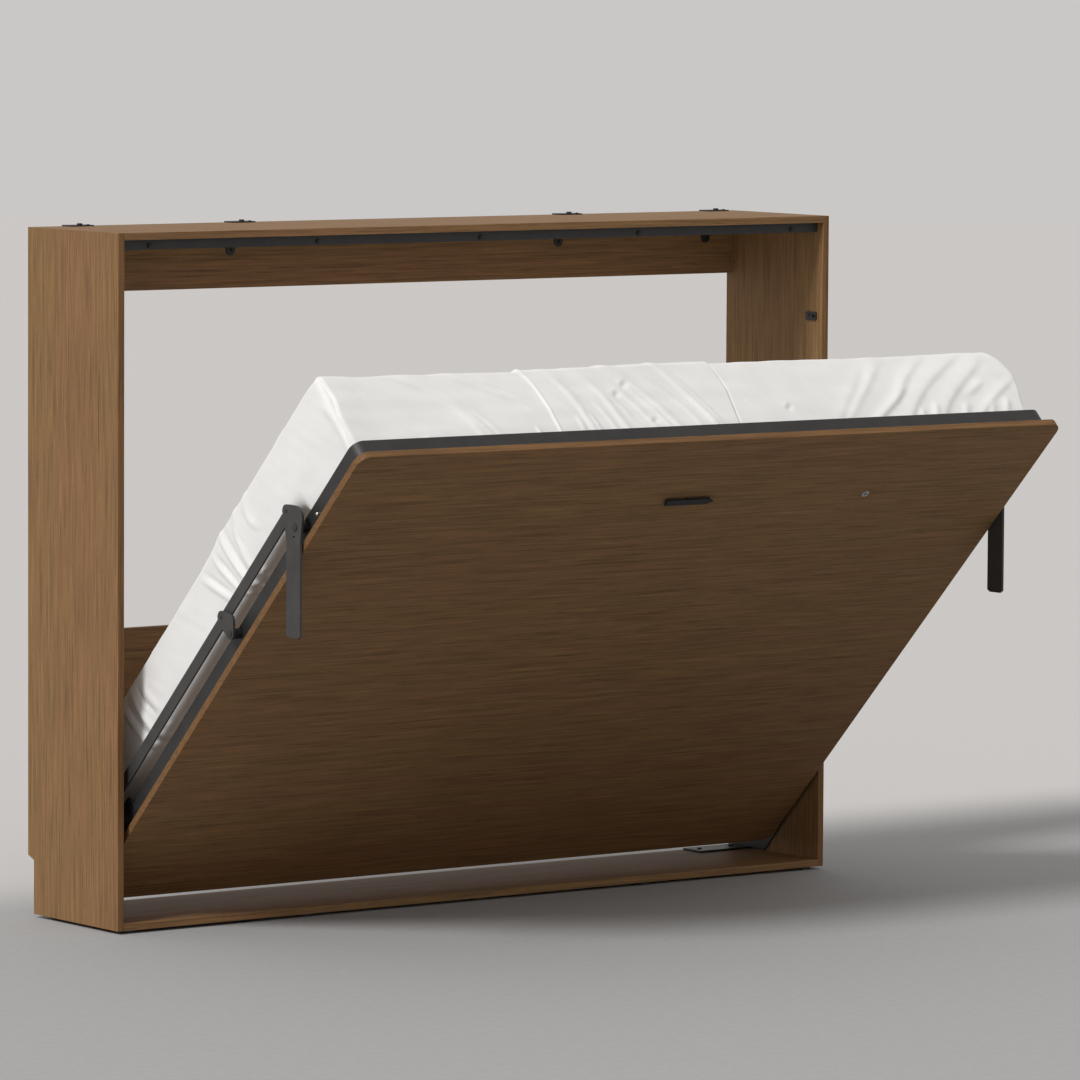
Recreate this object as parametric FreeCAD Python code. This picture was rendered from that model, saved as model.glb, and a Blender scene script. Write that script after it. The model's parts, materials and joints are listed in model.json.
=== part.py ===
import FreeCAD, Part
import math
import os

os.makedirs("parts", exist_ok=True)
V = FreeCAD.Vector

# ---------------------------------------------------------------- dimensions
# Millimetres. X across the cabinet, Y towards the wall, Z up.
# Drawn from mid-width, at floor level, on the cabinet's back plane.

# cabinet
CAB_W = 2212.0
CAB_D = 410.0
CAB_H = 1720.0
BOARD_T = 18.0
FOOT_H = 8.0
FRONT_Y = -CAB_D
BACK_Y = 0.0
IN_X = CAB_W / 2 - BOARD_T
TOP_UNDER_Z = CAB_H - BOARD_T
FLOOR_TOP_Z = FOOT_H + BOARD_T
EDGE_R = 0.8
SKIRTING_D = 27.0
SKIRTING_Z = 143.5
SKIRTING_CHAMFER_Z = 154.0
FLOOR_BACK_GAP = 51.0
TOP_BOARD_Z = 1555.0
LOW_BOARD_Z0 = 158.0
LOW_BOARD_Z1 = 708.0
GLIDE_R = 20.0
GLIDE_INSET = 30.0
# the parts are drawn from the cabinet's back plane and saved from the middle rear glide
ORIGIN_Y = -(FLOOR_BACK_GAP + GLIDE_INSET)
DOWEL_R = 4.0
DOWEL_IN = 20.0
DOWEL_OUT = 12.0
DOWEL_CLEAR = 0.05

# rail and rubber buffers that the closed bed stops against
STOP_SET_BACK = 24.0
STOP_D = 25.0
STOP_H = 25.0
STOP_WALL = 2.0
STOP_HALF = 1084.0
BUFFER_R = 6.0
BUFFER_L = 5.5
BUFFER_PITCH = 500.0
BUFFER_Z = 1686.5

# wall fixings
ANCHOR_XS = (-1000.0, -515.0, 515.0, 1000.0)
ANCHOR_Z = 1651.0
ANCHOR_HOLE_R = 4.5
FERRULE_R = 8.0
FERRULE_FLANGE_R = 14.0
FERRULE_FLANGE_T = 3.0
BRACKET_OFFSET = 30.0
BRACKET_HALF_W = 34.5
BRACKET_TAB_D = 41.0
BRACKET_T = 3.0
BRACKET_DROP = 95.0
BRACKET_NECK = 24.0
BRACKET_BIG_IN = 25.0
BRACKET_SMALL_IN = 34.0
BRACKET_SMALL_DX = 19.0

# bed pivot, and the parallel link's fixed pivot behind and above it
OPEN_ANGLE = 44.9
PIVOT_Y = -347.0
PIVOT_Z = 271.8
LINK_DY = 36.4
LINK_DZ = 36.4

# bed, measured from the pivot with the bed shut: v is up, w is towards the wall
PANEL_HALF = 1071.5
PANEL_V0 = -235.5
PANEL_V1 = 1421.5
PANEL_W0 = -63.0
PANEL_T = 18.0
PANEL_R = 31.0
RAIL_W0 = PANEL_W0 + PANEL_T
RAIL_H = 50.0
RAIL_W1 = RAIL_W0 + RAIL_H
RAIL_B = 25.0
RAIL_WALL = 2.0
RAIL_R = 30.0
RAIL_X = 1052.5
RAIL_V0 = -216.5
RAIL_V1 = 1402.5
SLAT_COUNT = 14
SLAT_W = 68.0
SLAT_T = 10.0
LEDGE_T = 3.0
MATTRESS_L = 2032.0
MATTRESS_W = 1524.0
MATTRESS_T = 229.0
MATTRESS_V = 592.0
MATTRESS_W0 = RAIL_W1 + 2.0
MATTRESS_CORNER_R = 70.0
MATTRESS_EDGE_R = 35.0

# leg, rocker and link planes, measured from the middle outwards
LEG_X0 = 1077.0
LEG_X1 = 1083.0
LINK_X0 = 1068.0
LINK_X1 = 1073.0
LINK_BAR_W = 30.0
LINK_LOBE_R = 15.0
ARM_W = -8.0
LEG_V = 1111.1
ROCKER_V = 723.4
LEG_FRONT = 22.6
LEG_BACK = 34.4
LEG_DROP = 260.3
LEG_FOOT_H = 3.0
ARM_EYE_R = 16.0
STANDOFF_R = 13.0
PIVOT_PIN_R = 6.0
LINK_PIN_R = 5.0
RUN_CLEAR = 0.05
LOOSE_CLEAR = 0.5

# hinge
SHAFT_R = 12.0
SPIGOT_R = 8.0
BUSH_T = 2.0
HINGE_PLATE_T = 5.0
SIDE_PLATE_T = 5.0
FOOT_PLATE_X = 914.0
FOOT_PLATE_Y = -130.0
SPRING_R0 = 12.3
SPRING_PITCH = 5.6
SPRING_TURNS = 3.5
SPRING_T = 2.6
SPRING_POST_R = 4.0

# latch
HANDLE_V = 1204.7
GEAR_R = 15.0
GEAR_TEETH = 12
GEAR_W0 = -34.0
GEAR_W1 = -26.0
BOLT_R = 4.0
BOLT_V = 1183.8
BOLT_W = -30.0
BOLT_TIP_X = 1067.5
STRIKE_T = 4.0
STRIKE_SCREWS = (10.0, 22.0)
STRIKE_SCREW_DZ = 3.0
HANDLE_L = 134.0
HANDLE_H = 18.0
SPUR_L = 13.0
SPINDLE_R = 5.95
LOCK_X = 569.0
LOCK_V = 1190.5
LOCK_R = 9.5
LOCK_PEG_X = 554.0


# ------------------------------------------------------------------- helpers
def box(x0, x1, y0, y1, z0, z1):
    return Part.makeBox(x1 - x0, y1 - y0, z1 - z0, V(x0, y0, z0))


def soft_box(x0, x1, y0, y1, z0, z1, r=EDGE_R):
    solid = box(x0, x1, y0, y1, z0, z1)
    return solid.makeFillet(r, solid.Edges)


def rod_x(x0, x1, y, z, r):
    return Part.makeCylinder(r, x1 - x0, V(x0, y, z), V(1, 0, 0))


def rod_y(y0, y1, x, z, r):
    return Part.makeCylinder(r, y1 - y0, V(x, y0, z), V(0, 1, 0))


def rod_z(z0, z1, x, y, r):
    return Part.makeCylinder(r, z1 - z0, V(x, y, z0), V(0, 0, 1))


def plate_x(points, x0, x1):
    """Plate standing square to X, from (y, z) corners."""
    ring = [V(x0, y, z) for y, z in points]
    ring.append(ring[0])
    return Part.Face(Part.makePolygon(ring)).extrude(V(x1 - x0, 0, 0))


def plate_y(points, y0, y1):
    """Plate standing square to Y, from (x, z) corners."""
    ring = [V(x, y0, z) for x, z in points]
    ring.append(ring[0])
    return Part.Face(Part.makePolygon(ring)).extrude(V(0, y1 - y0, 0))


def hull_x(circles, x0, x1):
    """Plate square to X, with the convex outline of circles (y, z, r)."""
    shape = None
    for i, (y0, z0, r0) in enumerate(circles):
        disc = rod_x(x0, x1, y0, z0, r0)
        shape = disc if shape is None else shape.fuse(disc)
        for y1, z1, r1 in circles[i + 1:]:
            shape = shape.fuse(belt(y0, z0, r0, y1, z1, r1, x0, x1))
    return shape.removeSplitter()


def belt(y0, z0, r0, y1, z1, r1, x0, x1):
    """The four-cornered plate between two circles' outer tangent points."""
    dy = y1 - y0
    dz = z1 - z0
    span = math.hypot(dy, dz)
    along = math.atan2(dz, dy)
    lean = math.acos(max(-1.0, min(1.0, (r0 - r1) / span)))
    corners = []
    for y, z, r, turn in (
        (y0, z0, r0, lean),
        (y1, z1, r1, lean),
        (y1, z1, r1, -lean),
        (y0, z0, r0, -lean),
    ):
        corners.append((y + r * math.cos(along + turn), z + r * math.sin(along + turn)))
    return plate_x(corners, x0, x1)


def edges_along(solid, axis):
    """Straight edges that run along the named axis."""
    found = []
    for e in solid.Edges:
        spans = {"x": e.BoundBox.XLength, "y": e.BoundBox.YLength, "z": e.BoundBox.ZLength}
        length = spans.pop(axis)
        if length > 0.5 and max(spans.values()) < 1e-6:
            found.append(e)
    return found


def mirrored(solid, side):
    if side > 0:
        return solid
    return solid.mirror(V(0, 0, 0), V(1, 0, 0))


def join(solids):
    return solids[0].fuse(solids[1:]).removeSplitter()


def opened(shape):
    """Swing a solid drawn with the bed shut to the half-open rest pose."""
    copy = shape.copy()
    copy.rotate(V(0, PIVOT_Y, PIVOT_Z), V(1, 0, 0), OPEN_ANGLE)
    return copy


def rested(v, w):
    """World (y, z) in the rest pose of a bed point (v, w)."""
    a = math.radians(OPEN_ANGLE)
    y = PIVOT_Y + w * math.cos(a) - v * math.sin(a)
    z = PIVOT_Z + w * math.sin(a) + v * math.cos(a)
    return y, z


def bed_box(x0, x1, v0, v1, w0, w1):
    return box(x0, x1, PIVOT_Y + w0, PIVOT_Y + w1, PIVOT_Z + v0, PIVOT_Z + v1)


def bed_rod_w(w0, w1, x, v, r):
    return rod_y(PIVOT_Y + w0, PIVOT_Y + w1, x, PIVOT_Z + v, r)


def bed_rod_x(x0, x1, v, w, r):
    return rod_x(x0, x1, PIVOT_Y + w, PIVOT_Z + v, r)


def rounded_slab(half, v0, v1, w0, w1, r):
    slab = bed_box(-half, half, v0, v1, w0, w1)
    return slab.makeFillet(r, edges_along(slab, "y"))


def save(name, solids):
    parts = solids if isinstance(solids, (list, tuple)) else [solids]
    loose = []
    for part in parts:
        loose.extend(part.Solids)
    shape = loose[0] if len(loose) == 1 else Part.makeCompound(loose)
    shape.translate(FreeCAD.Vector(0, -ORIGIN_Y, 0))
    shape.exportStep("parts/" + name + ".step")


# ------------------------------------------------------------- shared layout
BOLT_Y_SHUT = PIVOT_Y + BOLT_W
BOLT_Z_SHUT = PIVOT_Z + BOLT_V
LINK_Y = PIVOT_Y + LINK_DY
LINK_Z = PIVOT_Z + LINK_DZ
SIDES = (("left", -1), ("right", 1))

# (y, z) of the dowels that join each board to the side panels
DOWELS = []
for dowel_y in (-350.0, -220.0, -90.0):
    DOWELS.append((dowel_y, CAB_H - BOARD_T / 2))
    DOWELS.append((dowel_y, FOOT_H + BOARD_T / 2))
for dowel_z in (1595.0, 1665.0, 210.0, 430.0, 650.0):
    DOWELS.append((BACK_Y - BOARD_T / 2, dowel_z))

# (y, z) of the bolts that hold a hinge bracket to its side panel
SIDE_BOLTS = ((-262.0, 300.0), (-232.0, 140.0), (-150.0, 180.0), (-80.0, 70.0))
# (x, y) of the bolts in the bracket's foot
FOOT_BOLTS = ((940.0, -92.0), (1045.0, -92.0))
BOLT_SHANK_R = 3.0
BOLT_HEAD_R = 6.0
BOLT_HEAD_H = 3.4
BOLT_SOCKET_R = 2.2


# ------------------------------------------------------------------- cabinet
def side_panel(side):
    outline = (
        (FRONT_Y, FOOT_H),
        (BACK_Y - SKIRTING_D, FOOT_H),
        (BACK_Y - SKIRTING_D, SKIRTING_Z),
        (BACK_Y, SKIRTING_CHAMFER_Z),
        (BACK_Y, CAB_H),
        (FRONT_Y, CAB_H),
    )
    panel = plate_x(outline, IN_X, IN_X + BOARD_T)
    panel = panel.makeFillet(EDGE_R, panel.Edges)
    for y, z in DOWELS:
        panel = panel.cut(rod_x(IN_X - 1, IN_X + DOWEL_OUT + 1, y, z, DOWEL_R + DOWEL_CLEAR))
    for y, z in SIDE_BOLTS:
        panel = panel.cut(rod_x(IN_X - 1, IN_X + 14, y, z, BOLT_SHANK_R + 0.05))
    panel = panel.cut(rod_x(IN_X - 1, IN_X + 6, BOLT_Y_SHUT, BOLT_Z_SHUT, BOLT_R + 1.0))
    for dy in STRIKE_SCREWS:
        hole = rod_x(IN_X - 1, IN_X + 12, BOLT_Y_SHUT + dy, BOLT_Z_SHUT + STRIKE_SCREW_DZ, 1.55)
        panel = panel.cut(hole)
    return mirrored(panel, side)


def board(y0, y1, z0, z1):
    solid = soft_box(-IN_X, IN_X, y0, y1, z0, z1)
    for y, z in DOWELS:
        if y0 < y < y1 and z0 < z < z1:
            hole_r = DOWEL_R + DOWEL_CLEAR
            solid = solid.cut(rod_x(-IN_X - 1, -IN_X + DOWEL_IN + 1, y, z, hole_r))
            solid = solid.cut(rod_x(IN_X - DOWEL_IN - 1, IN_X + 1, y, z, hole_r))
    return solid


def dowel(side, y, z):
    return mirrored(rod_x(IN_X - DOWEL_IN, IN_X + DOWEL_OUT, y, z, DOWEL_R), side)


STOP_Y0 = FRONT_Y + STOP_SET_BACK
STOP_Z0 = TOP_UNDER_Z - STOP_H
STOP_SCREW_XS = (-1050.0, -630.0, -210.0, 210.0, 630.0, 1050.0)
STOP_SCREW_Y = STOP_Y0 + STOP_D / 2


def stop_rail():
    outer = box(-STOP_HALF, STOP_HALF, STOP_Y0, STOP_Y0 + STOP_D, STOP_Z0, TOP_UNDER_Z)
    inner = box(
        -STOP_HALF - 1,
        STOP_HALF + 1,
        STOP_Y0 + STOP_WALL,
        STOP_Y0 + STOP_D - STOP_WALL,
        STOP_Z0 + STOP_WALL,
        TOP_UNDER_Z - STOP_WALL,
    )
    rail = outer.cut(inner)
    for x in STOP_SCREW_XS:
        rail = rail.cut(rod_z(STOP_Z0 - 1, TOP_UNDER_Z + 1, x, STOP_SCREW_Y, 2.6))
    return rail


def stop_screw(x):
    shank = rod_z(STOP_Z0 - 0.5, TOP_UNDER_Z + 12, x, STOP_SCREW_Y, 2.5)
    head = rod_z(STOP_Z0 - 1.4, STOP_Z0, x, STOP_SCREW_Y, 4.8)
    return shank.fuse(head)


def buffer(x):
    pad = rod_y(STOP_Y0 - BUFFER_L, STOP_Y0, x, BUFFER_Z, BUFFER_R)
    rim = [e for e in pad.Edges if e.Closed and e.BoundBox.YMax < STOP_Y0 - 1]
    return pad.makeFillet(1.2, rim)


def wall_bracket(anchor_x):
    centre = anchor_x + BRACKET_OFFSET
    left = centre - BRACKET_HALF_W
    right = centre + BRACKET_HALF_W
    top = CAB_H + BRACKET_T
    tab = box(left, right, BACK_Y - BRACKET_TAB_D, BACK_Y + BRACKET_T, CAB_H, top)
    corners = [e for e in edges_along(tab, "z") if e.BoundBox.YMax < BACK_Y - 1]
    tab = tab.makeFillet(5.0, corners)
    neck = box(left, right, BACK_Y, BACK_Y + BRACKET_T, CAB_H - BRACKET_NECK, top)
    tab = tab.fuse(neck)
    drop_top = CAB_H - BRACKET_NECK
    drop = box(anchor_x - 25.0, right, BACK_Y, BACK_Y + BRACKET_T, CAB_H - BRACKET_DROP, drop_top)
    plate = tab.fuse(drop).removeSplitter()
    big_y = BACK_Y - BRACKET_BIG_IN
    small_y = BACK_Y - BRACKET_SMALL_IN
    plate = plate.cut(rod_y(BACK_Y - 1, BACK_Y + 9, anchor_x, ANCHOR_Z, ANCHOR_HOLE_R))
    plate = plate.cut(rod_z(CAB_H - 1, CAB_H + 9, centre, big_y, 3.1))
    return plate.cut(rod_z(CAB_H - 1, CAB_H + 9, centre + BRACKET_SMALL_DX, small_y, 2.1))


def bracket_screws(anchor_x):
    centre = anchor_x + BRACKET_OFFSET
    small_x = centre + BRACKET_SMALL_DX
    big_y = BACK_Y - BRACKET_BIG_IN
    small_y = BACK_Y - BRACKET_SMALL_IN
    top = CAB_H + BRACKET_T
    big = rod_z(top, top + 4.5, centre, big_y, 7.0)
    rim = [e for e in big.Edges if e.Closed and e.BoundBox.ZMin > top + 1]
    big = big.makeFillet(1.8, rim)
    big = big.fuse(rod_z(CAB_H - 14, top + 0.5, centre, big_y, 3.0))
    small = rod_z(top, top + 2.0, small_x, small_y, 4.0)
    small = small.fuse(rod_z(CAB_H - 12, top + 0.5, small_x, small_y, 2.0))
    return [big, small]


def ferrule(x):
    face_y = BACK_Y - BOARD_T
    flange = rod_y(face_y - FERRULE_FLANGE_T, face_y, x, ANCHOR_Z, FERRULE_FLANGE_R)
    rim = [e for e in flange.Edges if e.Closed and e.BoundBox.YMax < face_y - 1]
    flange = flange.makeFillet(1.0, rim)
    body = rod_y(face_y - 1, BACK_Y, x, ANCHOR_Z, FERRULE_R - 0.05)
    solid = flange.fuse(body)
    return solid.cut(rod_y(face_y - 9, BACK_Y + 1, x, ANCHOR_Z, ANCHOR_HOLE_R))


for side_name, side_sign in SIDES:
    save(side_name + "_side_panel", side_panel(side_sign))

top_panel = board(FRONT_Y, BACK_Y, TOP_UNDER_Z, CAB_H)
for screw_x in STOP_SCREW_XS:
    hole = rod_z(TOP_UNDER_Z - 1, TOP_UNDER_Z + 13, screw_x, STOP_SCREW_Y, 2.55)
    top_panel = top_panel.cut(hole)
for anchor in ANCHOR_XS:
    big_x = anchor + BRACKET_OFFSET
    small_x = big_x + BRACKET_SMALL_DX
    top_panel = top_panel.cut(rod_z(CAB_H - 15, CAB_H + 1, big_x, BACK_Y - BRACKET_BIG_IN, 3.05))
    top_panel = top_panel.cut(rod_z(CAB_H - 13, CAB_H + 1, small_x, BACK_Y - BRACKET_SMALL_IN, 2.05))
save("top_panel", top_panel)

bottom_panel = board(FRONT_Y, BACK_Y - FLOOR_BACK_GAP, FOOT_H, FLOOR_TOP_Z)
for bolt_x, bolt_y in FOOT_BOLTS:
    for side_name, side_sign in SIDES:
        hole = rod_z(FLOOR_TOP_Z - 12, FLOOR_TOP_Z + 1, side_sign * bolt_x, bolt_y, BOLT_SHANK_R + 0.05)
        bottom_panel = bottom_panel.cut(hole)
save("bottom_panel", bottom_panel)

rear_top_board = board(BACK_Y - BOARD_T, BACK_Y, TOP_BOARD_Z, TOP_UNDER_Z)
for anchor in ANCHOR_XS:
    hole = rod_y(BACK_Y - BOARD_T - 1, BACK_Y + 1, anchor, ANCHOR_Z, FERRULE_R)
    rear_top_board = rear_top_board.cut(hole)
save("rear_top_board", rear_top_board)
save("rear_lower_board", board(BACK_Y - BOARD_T, BACK_Y, LOW_BOARD_Z0, LOW_BOARD_Z1))

dowels = []
for dowel_y, dowel_z in DOWELS:
    for side_name, side_sign in SIDES:
        dowels.append(dowel(side_sign, dowel_y, dowel_z))
save("assembly_dowels", dowels)

save("stop_rail", stop_rail())
save("stop_rail_screws", [stop_screw(x) for x in STOP_SCREW_XS])
save("stop_buffers", [buffer(k * BUFFER_PITCH) for k in range(-2, 3)])
save("wall_brackets", [wall_bracket(x) for x in ANCHOR_XS])
bracket_screw_list = []
for anchor in ANCHOR_XS:
    bracket_screw_list.extend(bracket_screws(anchor))
save("wall_bracket_screws", bracket_screw_list)
save("wall_anchor_ferrules", [ferrule(x) for x in ANCHOR_XS])

# round glides between the bottom panel and the floor
glides = []
for glide_x in (-1060.0, -530.0, 0.0, 530.0, 1060.0):
    for glide_y in (FRONT_Y + GLIDE_INSET, BACK_Y - FLOOR_BACK_GAP - GLIDE_INSET):
        glides.append(rod_z(0, FOOT_H, glide_x, glide_y, GLIDE_R))
save("floor_glides", glides)

# --------------------------------------------------- hinge bracket, both sides
SIDE_FACE = IN_X - SIDE_PLATE_T
FOOT_BACK_Y = BACK_Y - FLOOR_BACK_GAP - 4.0
SPRING_END_R = SPRING_R0 + SPRING_TURNS * SPRING_PITCH + SPRING_T
POST_OFFSET = (SPRING_END_R + SPRING_POST_R) * math.sqrt(0.5)


def hinge_bracket(side):
    outline = (
        (-378.0, 241.0),
        (-187.0, FLOOR_TOP_Z),
        (FOOT_BACK_Y, FLOOR_TOP_Z),
        (FOOT_BACK_Y, 128.0),
        (-270.0, 344.0),
        (-378.0, 325.0),
    )
    plate = plate_x(outline, SIDE_FACE, IN_X)
    plate = plate.makeFillet(4.0, edges_along(plate, "x"))
    foot = box(FOOT_PLATE_X, IN_X, FOOT_PLATE_Y, FOOT_BACK_Y, FLOOR_TOP_Z, FLOOR_TOP_Z + SIDE_PLATE_T)
    post_x0 = LINK_X1 + 1.2
    post = rod_x(post_x0, SIDE_FACE, PIVOT_Y + POST_OFFSET, PIVOT_Z - POST_OFFSET, SPRING_POST_R)
    solid = join([plate, foot, post])
    solid = solid.cut(rod_x(1050, IN_X + 1, PIVOT_Y, PIVOT_Z, SHAFT_R + RUN_CLEAR + BUSH_T))
    solid = solid.cut(rod_x(1050, IN_X + 1, LINK_Y, LINK_Z, PIVOT_PIN_R))
    for y, z in SIDE_BOLTS:
        solid = solid.cut(rod_x(1050, IN_X + 1, y, z, BOLT_SHANK_R + 0.2))
    for x, y in FOOT_BOLTS:
        solid = solid.cut(rod_z(FLOOR_TOP_Z - 1, FLOOR_TOP_Z + 9, x, y, BOLT_SHANK_R + 0.2))
    return mirrored(solid, side)


def hinge_bush(side):
    inner = SHAFT_R + RUN_CLEAR
    x0 = SIDE_FACE - 2.5
    x1 = IN_X - 0.2
    ring = rod_x(x0, x1, PIVOT_Y, PIVOT_Z, inner + BUSH_T)
    return mirrored(ring.cut(rod_x(x0 - 1, x1 + 1, PIVOT_Y, PIVOT_Z, inner)), side)


def link_anchor_pin(side):
    shank = rod_x(LINK_X0 - 0.6, IN_X - 0.2, LINK_Y, LINK_Z, PIVOT_PIN_R)
    head = rod_x(LINK_X0 - 3.0, LINK_X0 - 0.5, LINK_Y, LINK_Z, 10.0)
    collar = rod_x(LINK_X1 + 0.5, SIDE_FACE, LINK_Y, LINK_Z, 10.0)
    return mirrored(join([shank, head, collar]), side)


def bracket_bolts(side):
    solids = []
    for y, z in SIDE_BOLTS:
        bolt = rod_x(SIDE_FACE - BOLT_HEAD_H, SIDE_FACE, y, z, BOLT_HEAD_R)
        bolt = bolt.fuse(rod_x(SIDE_FACE - 1, IN_X + 12, y, z, BOLT_SHANK_R))
        socket = rod_x(SIDE_FACE - 4, SIDE_FACE - 1.6, y, z, BOLT_SOCKET_R)
        solids.append(mirrored(bolt.cut(socket), side))
    for x, y in FOOT_BOLTS:
        top = FLOOR_TOP_Z + SIDE_PLATE_T
        bolt = rod_z(top, top + BOLT_HEAD_H, x, y, BOLT_HEAD_R)
        bolt = bolt.fuse(rod_z(FLOOR_TOP_Z - 10, top + 1, x, y, BOLT_SHANK_R))
        socket = rod_z(top + 1.6, top + 4, x, y, BOLT_SOCKET_R)
        solids.append(mirrored(bolt.cut(socket), side))
    return solids


def spiral_spring(side):
    """Flat spiral strip: inner end on the shaft, outer end at the post."""
    steps = 40
    total = int(SPRING_TURNS * steps)
    end_angle = math.radians(-45.0)
    start_angle = end_angle - 2 * math.pi * SPRING_TURNS
    inner = []
    outer = []
    for k in range(total + 1):
        a = start_angle + 2 * math.pi * k / steps
        r = SPRING_R0 + SPRING_PITCH * k / steps
        rim = r + SPRING_T
        inner.append((PIVOT_Y + r * math.cos(a), PIVOT_Z + r * math.sin(a)))
        outer.append((PIVOT_Y + rim * math.cos(a), PIVOT_Z + rim * math.sin(a)))
    strip = plate_x(outer + inner[::-1], LINK_X1 + 1.4, SIDE_FACE - 2.8)
    return mirrored(strip, side)


link_anchor_pins = []
hinge_bushes = []
bracket_bolt_list = []
for side_name, side_sign in SIDES:
    save(side_name + "_hinge_bracket", hinge_bracket(side_sign))
    save(side_name + "_counterbalance_spring", spiral_spring(side_sign))
    hinge_bushes.append(hinge_bush(side_sign))
    link_anchor_pins.append(link_anchor_pin(side_sign))
    bracket_bolt_list.extend(bracket_bolts(side_sign))
save("hinge_bushes", hinge_bushes)
save("link_anchor_pins", link_anchor_pins)
save("hinge_bracket_bolts", bracket_bolt_list)


def strike_plate(side):
    y0 = BOLT_Y_SHUT - 8.5
    y1 = BOLT_Y_SHUT + 34.5
    plate = box(IN_X - STRIKE_T, IN_X, y0, y1, BOLT_Z_SHUT - 10, BOLT_Z_SHUT + 12)
    plate = plate.makeFillet(4.0, edges_along(plate, "x"))
    plate = plate.cut(rod_x(IN_X - 9, IN_X + 9, BOLT_Y_SHUT, BOLT_Z_SHUT, BOLT_R + 0.6))
    for dy in STRIKE_SCREWS:
        hole = rod_x(IN_X - 9, IN_X + 9, BOLT_Y_SHUT + dy, BOLT_Z_SHUT + STRIKE_SCREW_DZ, 1.7)
        plate = plate.cut(hole)
    return mirrored(plate, side)


def strike_screws(side):
    solids = []
    face = IN_X - STRIKE_T
    for dy in STRIKE_SCREWS:
        y = BOLT_Y_SHUT + dy
        z = BOLT_Z_SHUT + STRIKE_SCREW_DZ
        head = rod_x(face - 1.4, face, y, z, 3.3)
        solids.append(mirrored(head.fuse(rod_x(face - 0.5, IN_X + 10, y, z, 1.5)), side))
    return solids


save("strike_plates", [strike_plate(-1), strike_plate(1)])
save("strike_screws", strike_screws(-1) + strike_screws(1))

# ----------------------------------------------------------------------- bed
# front panel, with holes for the handle spindle and the lock
front_panel = rounded_slab(PANEL_HALF, PANEL_V0, PANEL_V1, PANEL_W0, RAIL_W0, PANEL_R)
rims = [e for e in front_panel.Edges if e.BoundBox.YLength < 1e-6]
front_panel = front_panel.makeFillet(EDGE_R, rims)
front_panel = front_panel.cut(bed_rod_w(PANEL_W0 - 5, RAIL_W0 + 5, 0, HANDLE_V, 7.0))
front_panel = front_panel.cut(bed_rod_w(PANEL_W0 - 5, RAIL_W0 + 5, LOCK_X, LOCK_V, LOCK_R))
save("front_panel", opened(front_panel))


# perimeter frame of rectangular tube, in four welded lengths
def frame_ring(skin, w0, w1):
    """Ring whose outer face is set in, and inner face set out, by skin."""
    outer = rounded_slab(
        RAIL_X - skin, RAIL_V0 + skin, RAIL_V1 - skin, w0, w1, RAIL_R - skin
    )
    inset = RAIL_B - skin
    inner = rounded_slab(
        RAIL_X - inset, RAIL_V0 + inset, RAIL_V1 - inset, w0 - 1, w1 + 1, RAIL_R - inset
    )
    return outer.cut(inner)


ring = frame_ring(0.0, RAIL_W0, RAIL_W1)
ring = ring.cut(frame_ring(RAIL_WALL, RAIL_W0 + RAIL_WALL, RAIL_W1 - RAIL_WALL))
for side_name, side_sign in SIDES:
    hole = bed_rod_x(RAIL_X - RAIL_B - 5, RAIL_X + 5, BOLT_V, BOLT_W, BOLT_R + LOOSE_CLEAR)
    ring = ring.cut(mirrored(hole, side_sign))
cut_low = RAIL_V0 + RAIL_R + 6
cut_high = RAIL_V1 - RAIL_R - 6
far = RAIL_X + 10
RAIL_LENGTHS = (
    ("frame_top_rail", -far, far, cut_high, RAIL_V1 + 5),
    ("frame_bottom_rail", -far, far, RAIL_V0 - 5, cut_low),
    ("frame_left_rail", -far, 0, cut_low, cut_high),
    ("frame_right_rail", 0, far, cut_low, cut_high),
)
for rail_name, x0, x1, v0, v1 in RAIL_LENGTHS:
    save(rail_name, opened(ring.common(bed_box(x0, x1, v0, v1, -60, 10))))

# ledges, centre rail and slats under the mattress
in_rail = RAIL_X - RAIL_B
low_in = RAIL_V0 + RAIL_B
high_in = RAIL_V1 - RAIL_B
slat_w0 = RAIL_W1 - SLAT_T
ledges = []
for v0, stem_v0 in ((low_in, low_in), (high_in - 28.0, high_in - LEDGE_T)):
    half = in_rail - 30
    flat = bed_box(-half, half, v0, v0 + 28.0, slat_w0 - LEDGE_T, slat_w0)
    stem = bed_box(-half, half, stem_v0, stem_v0 + LEDGE_T, slat_w0 - 20, slat_w0)
    ledges.append(opened(flat.fuse(stem).removeSplitter()))
save("slat_ledges", ledges)

centre_w0 = slat_w0 - 30
centre_rail = bed_box(-in_rail, in_rail, MATTRESS_V - 20, MATTRESS_V + 20, centre_w0, slat_w0)
centre_bore = bed_box(
    -in_rail - 1, in_rail + 1, MATTRESS_V - 18, MATTRESS_V + 18, centre_w0 + 2, slat_w0 - 2
)
save("frame_centre_rail", opened(centre_rail.cut(centre_bore)))

slats = []
first_slat = -in_rail + 75
slat_step = -2 * first_slat / (SLAT_COUNT - 1)
for k in range(SLAT_COUNT):
    x = first_slat + k * slat_step
    slat = bed_box(x - SLAT_W / 2, x + SLAT_W / 2, low_in + 2, high_in - 2, slat_w0, RAIL_W1)
    slats.append(opened(slat.makeFillet(2.0, edges_along(slat, "z"))))
save("slats", slats)

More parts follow.
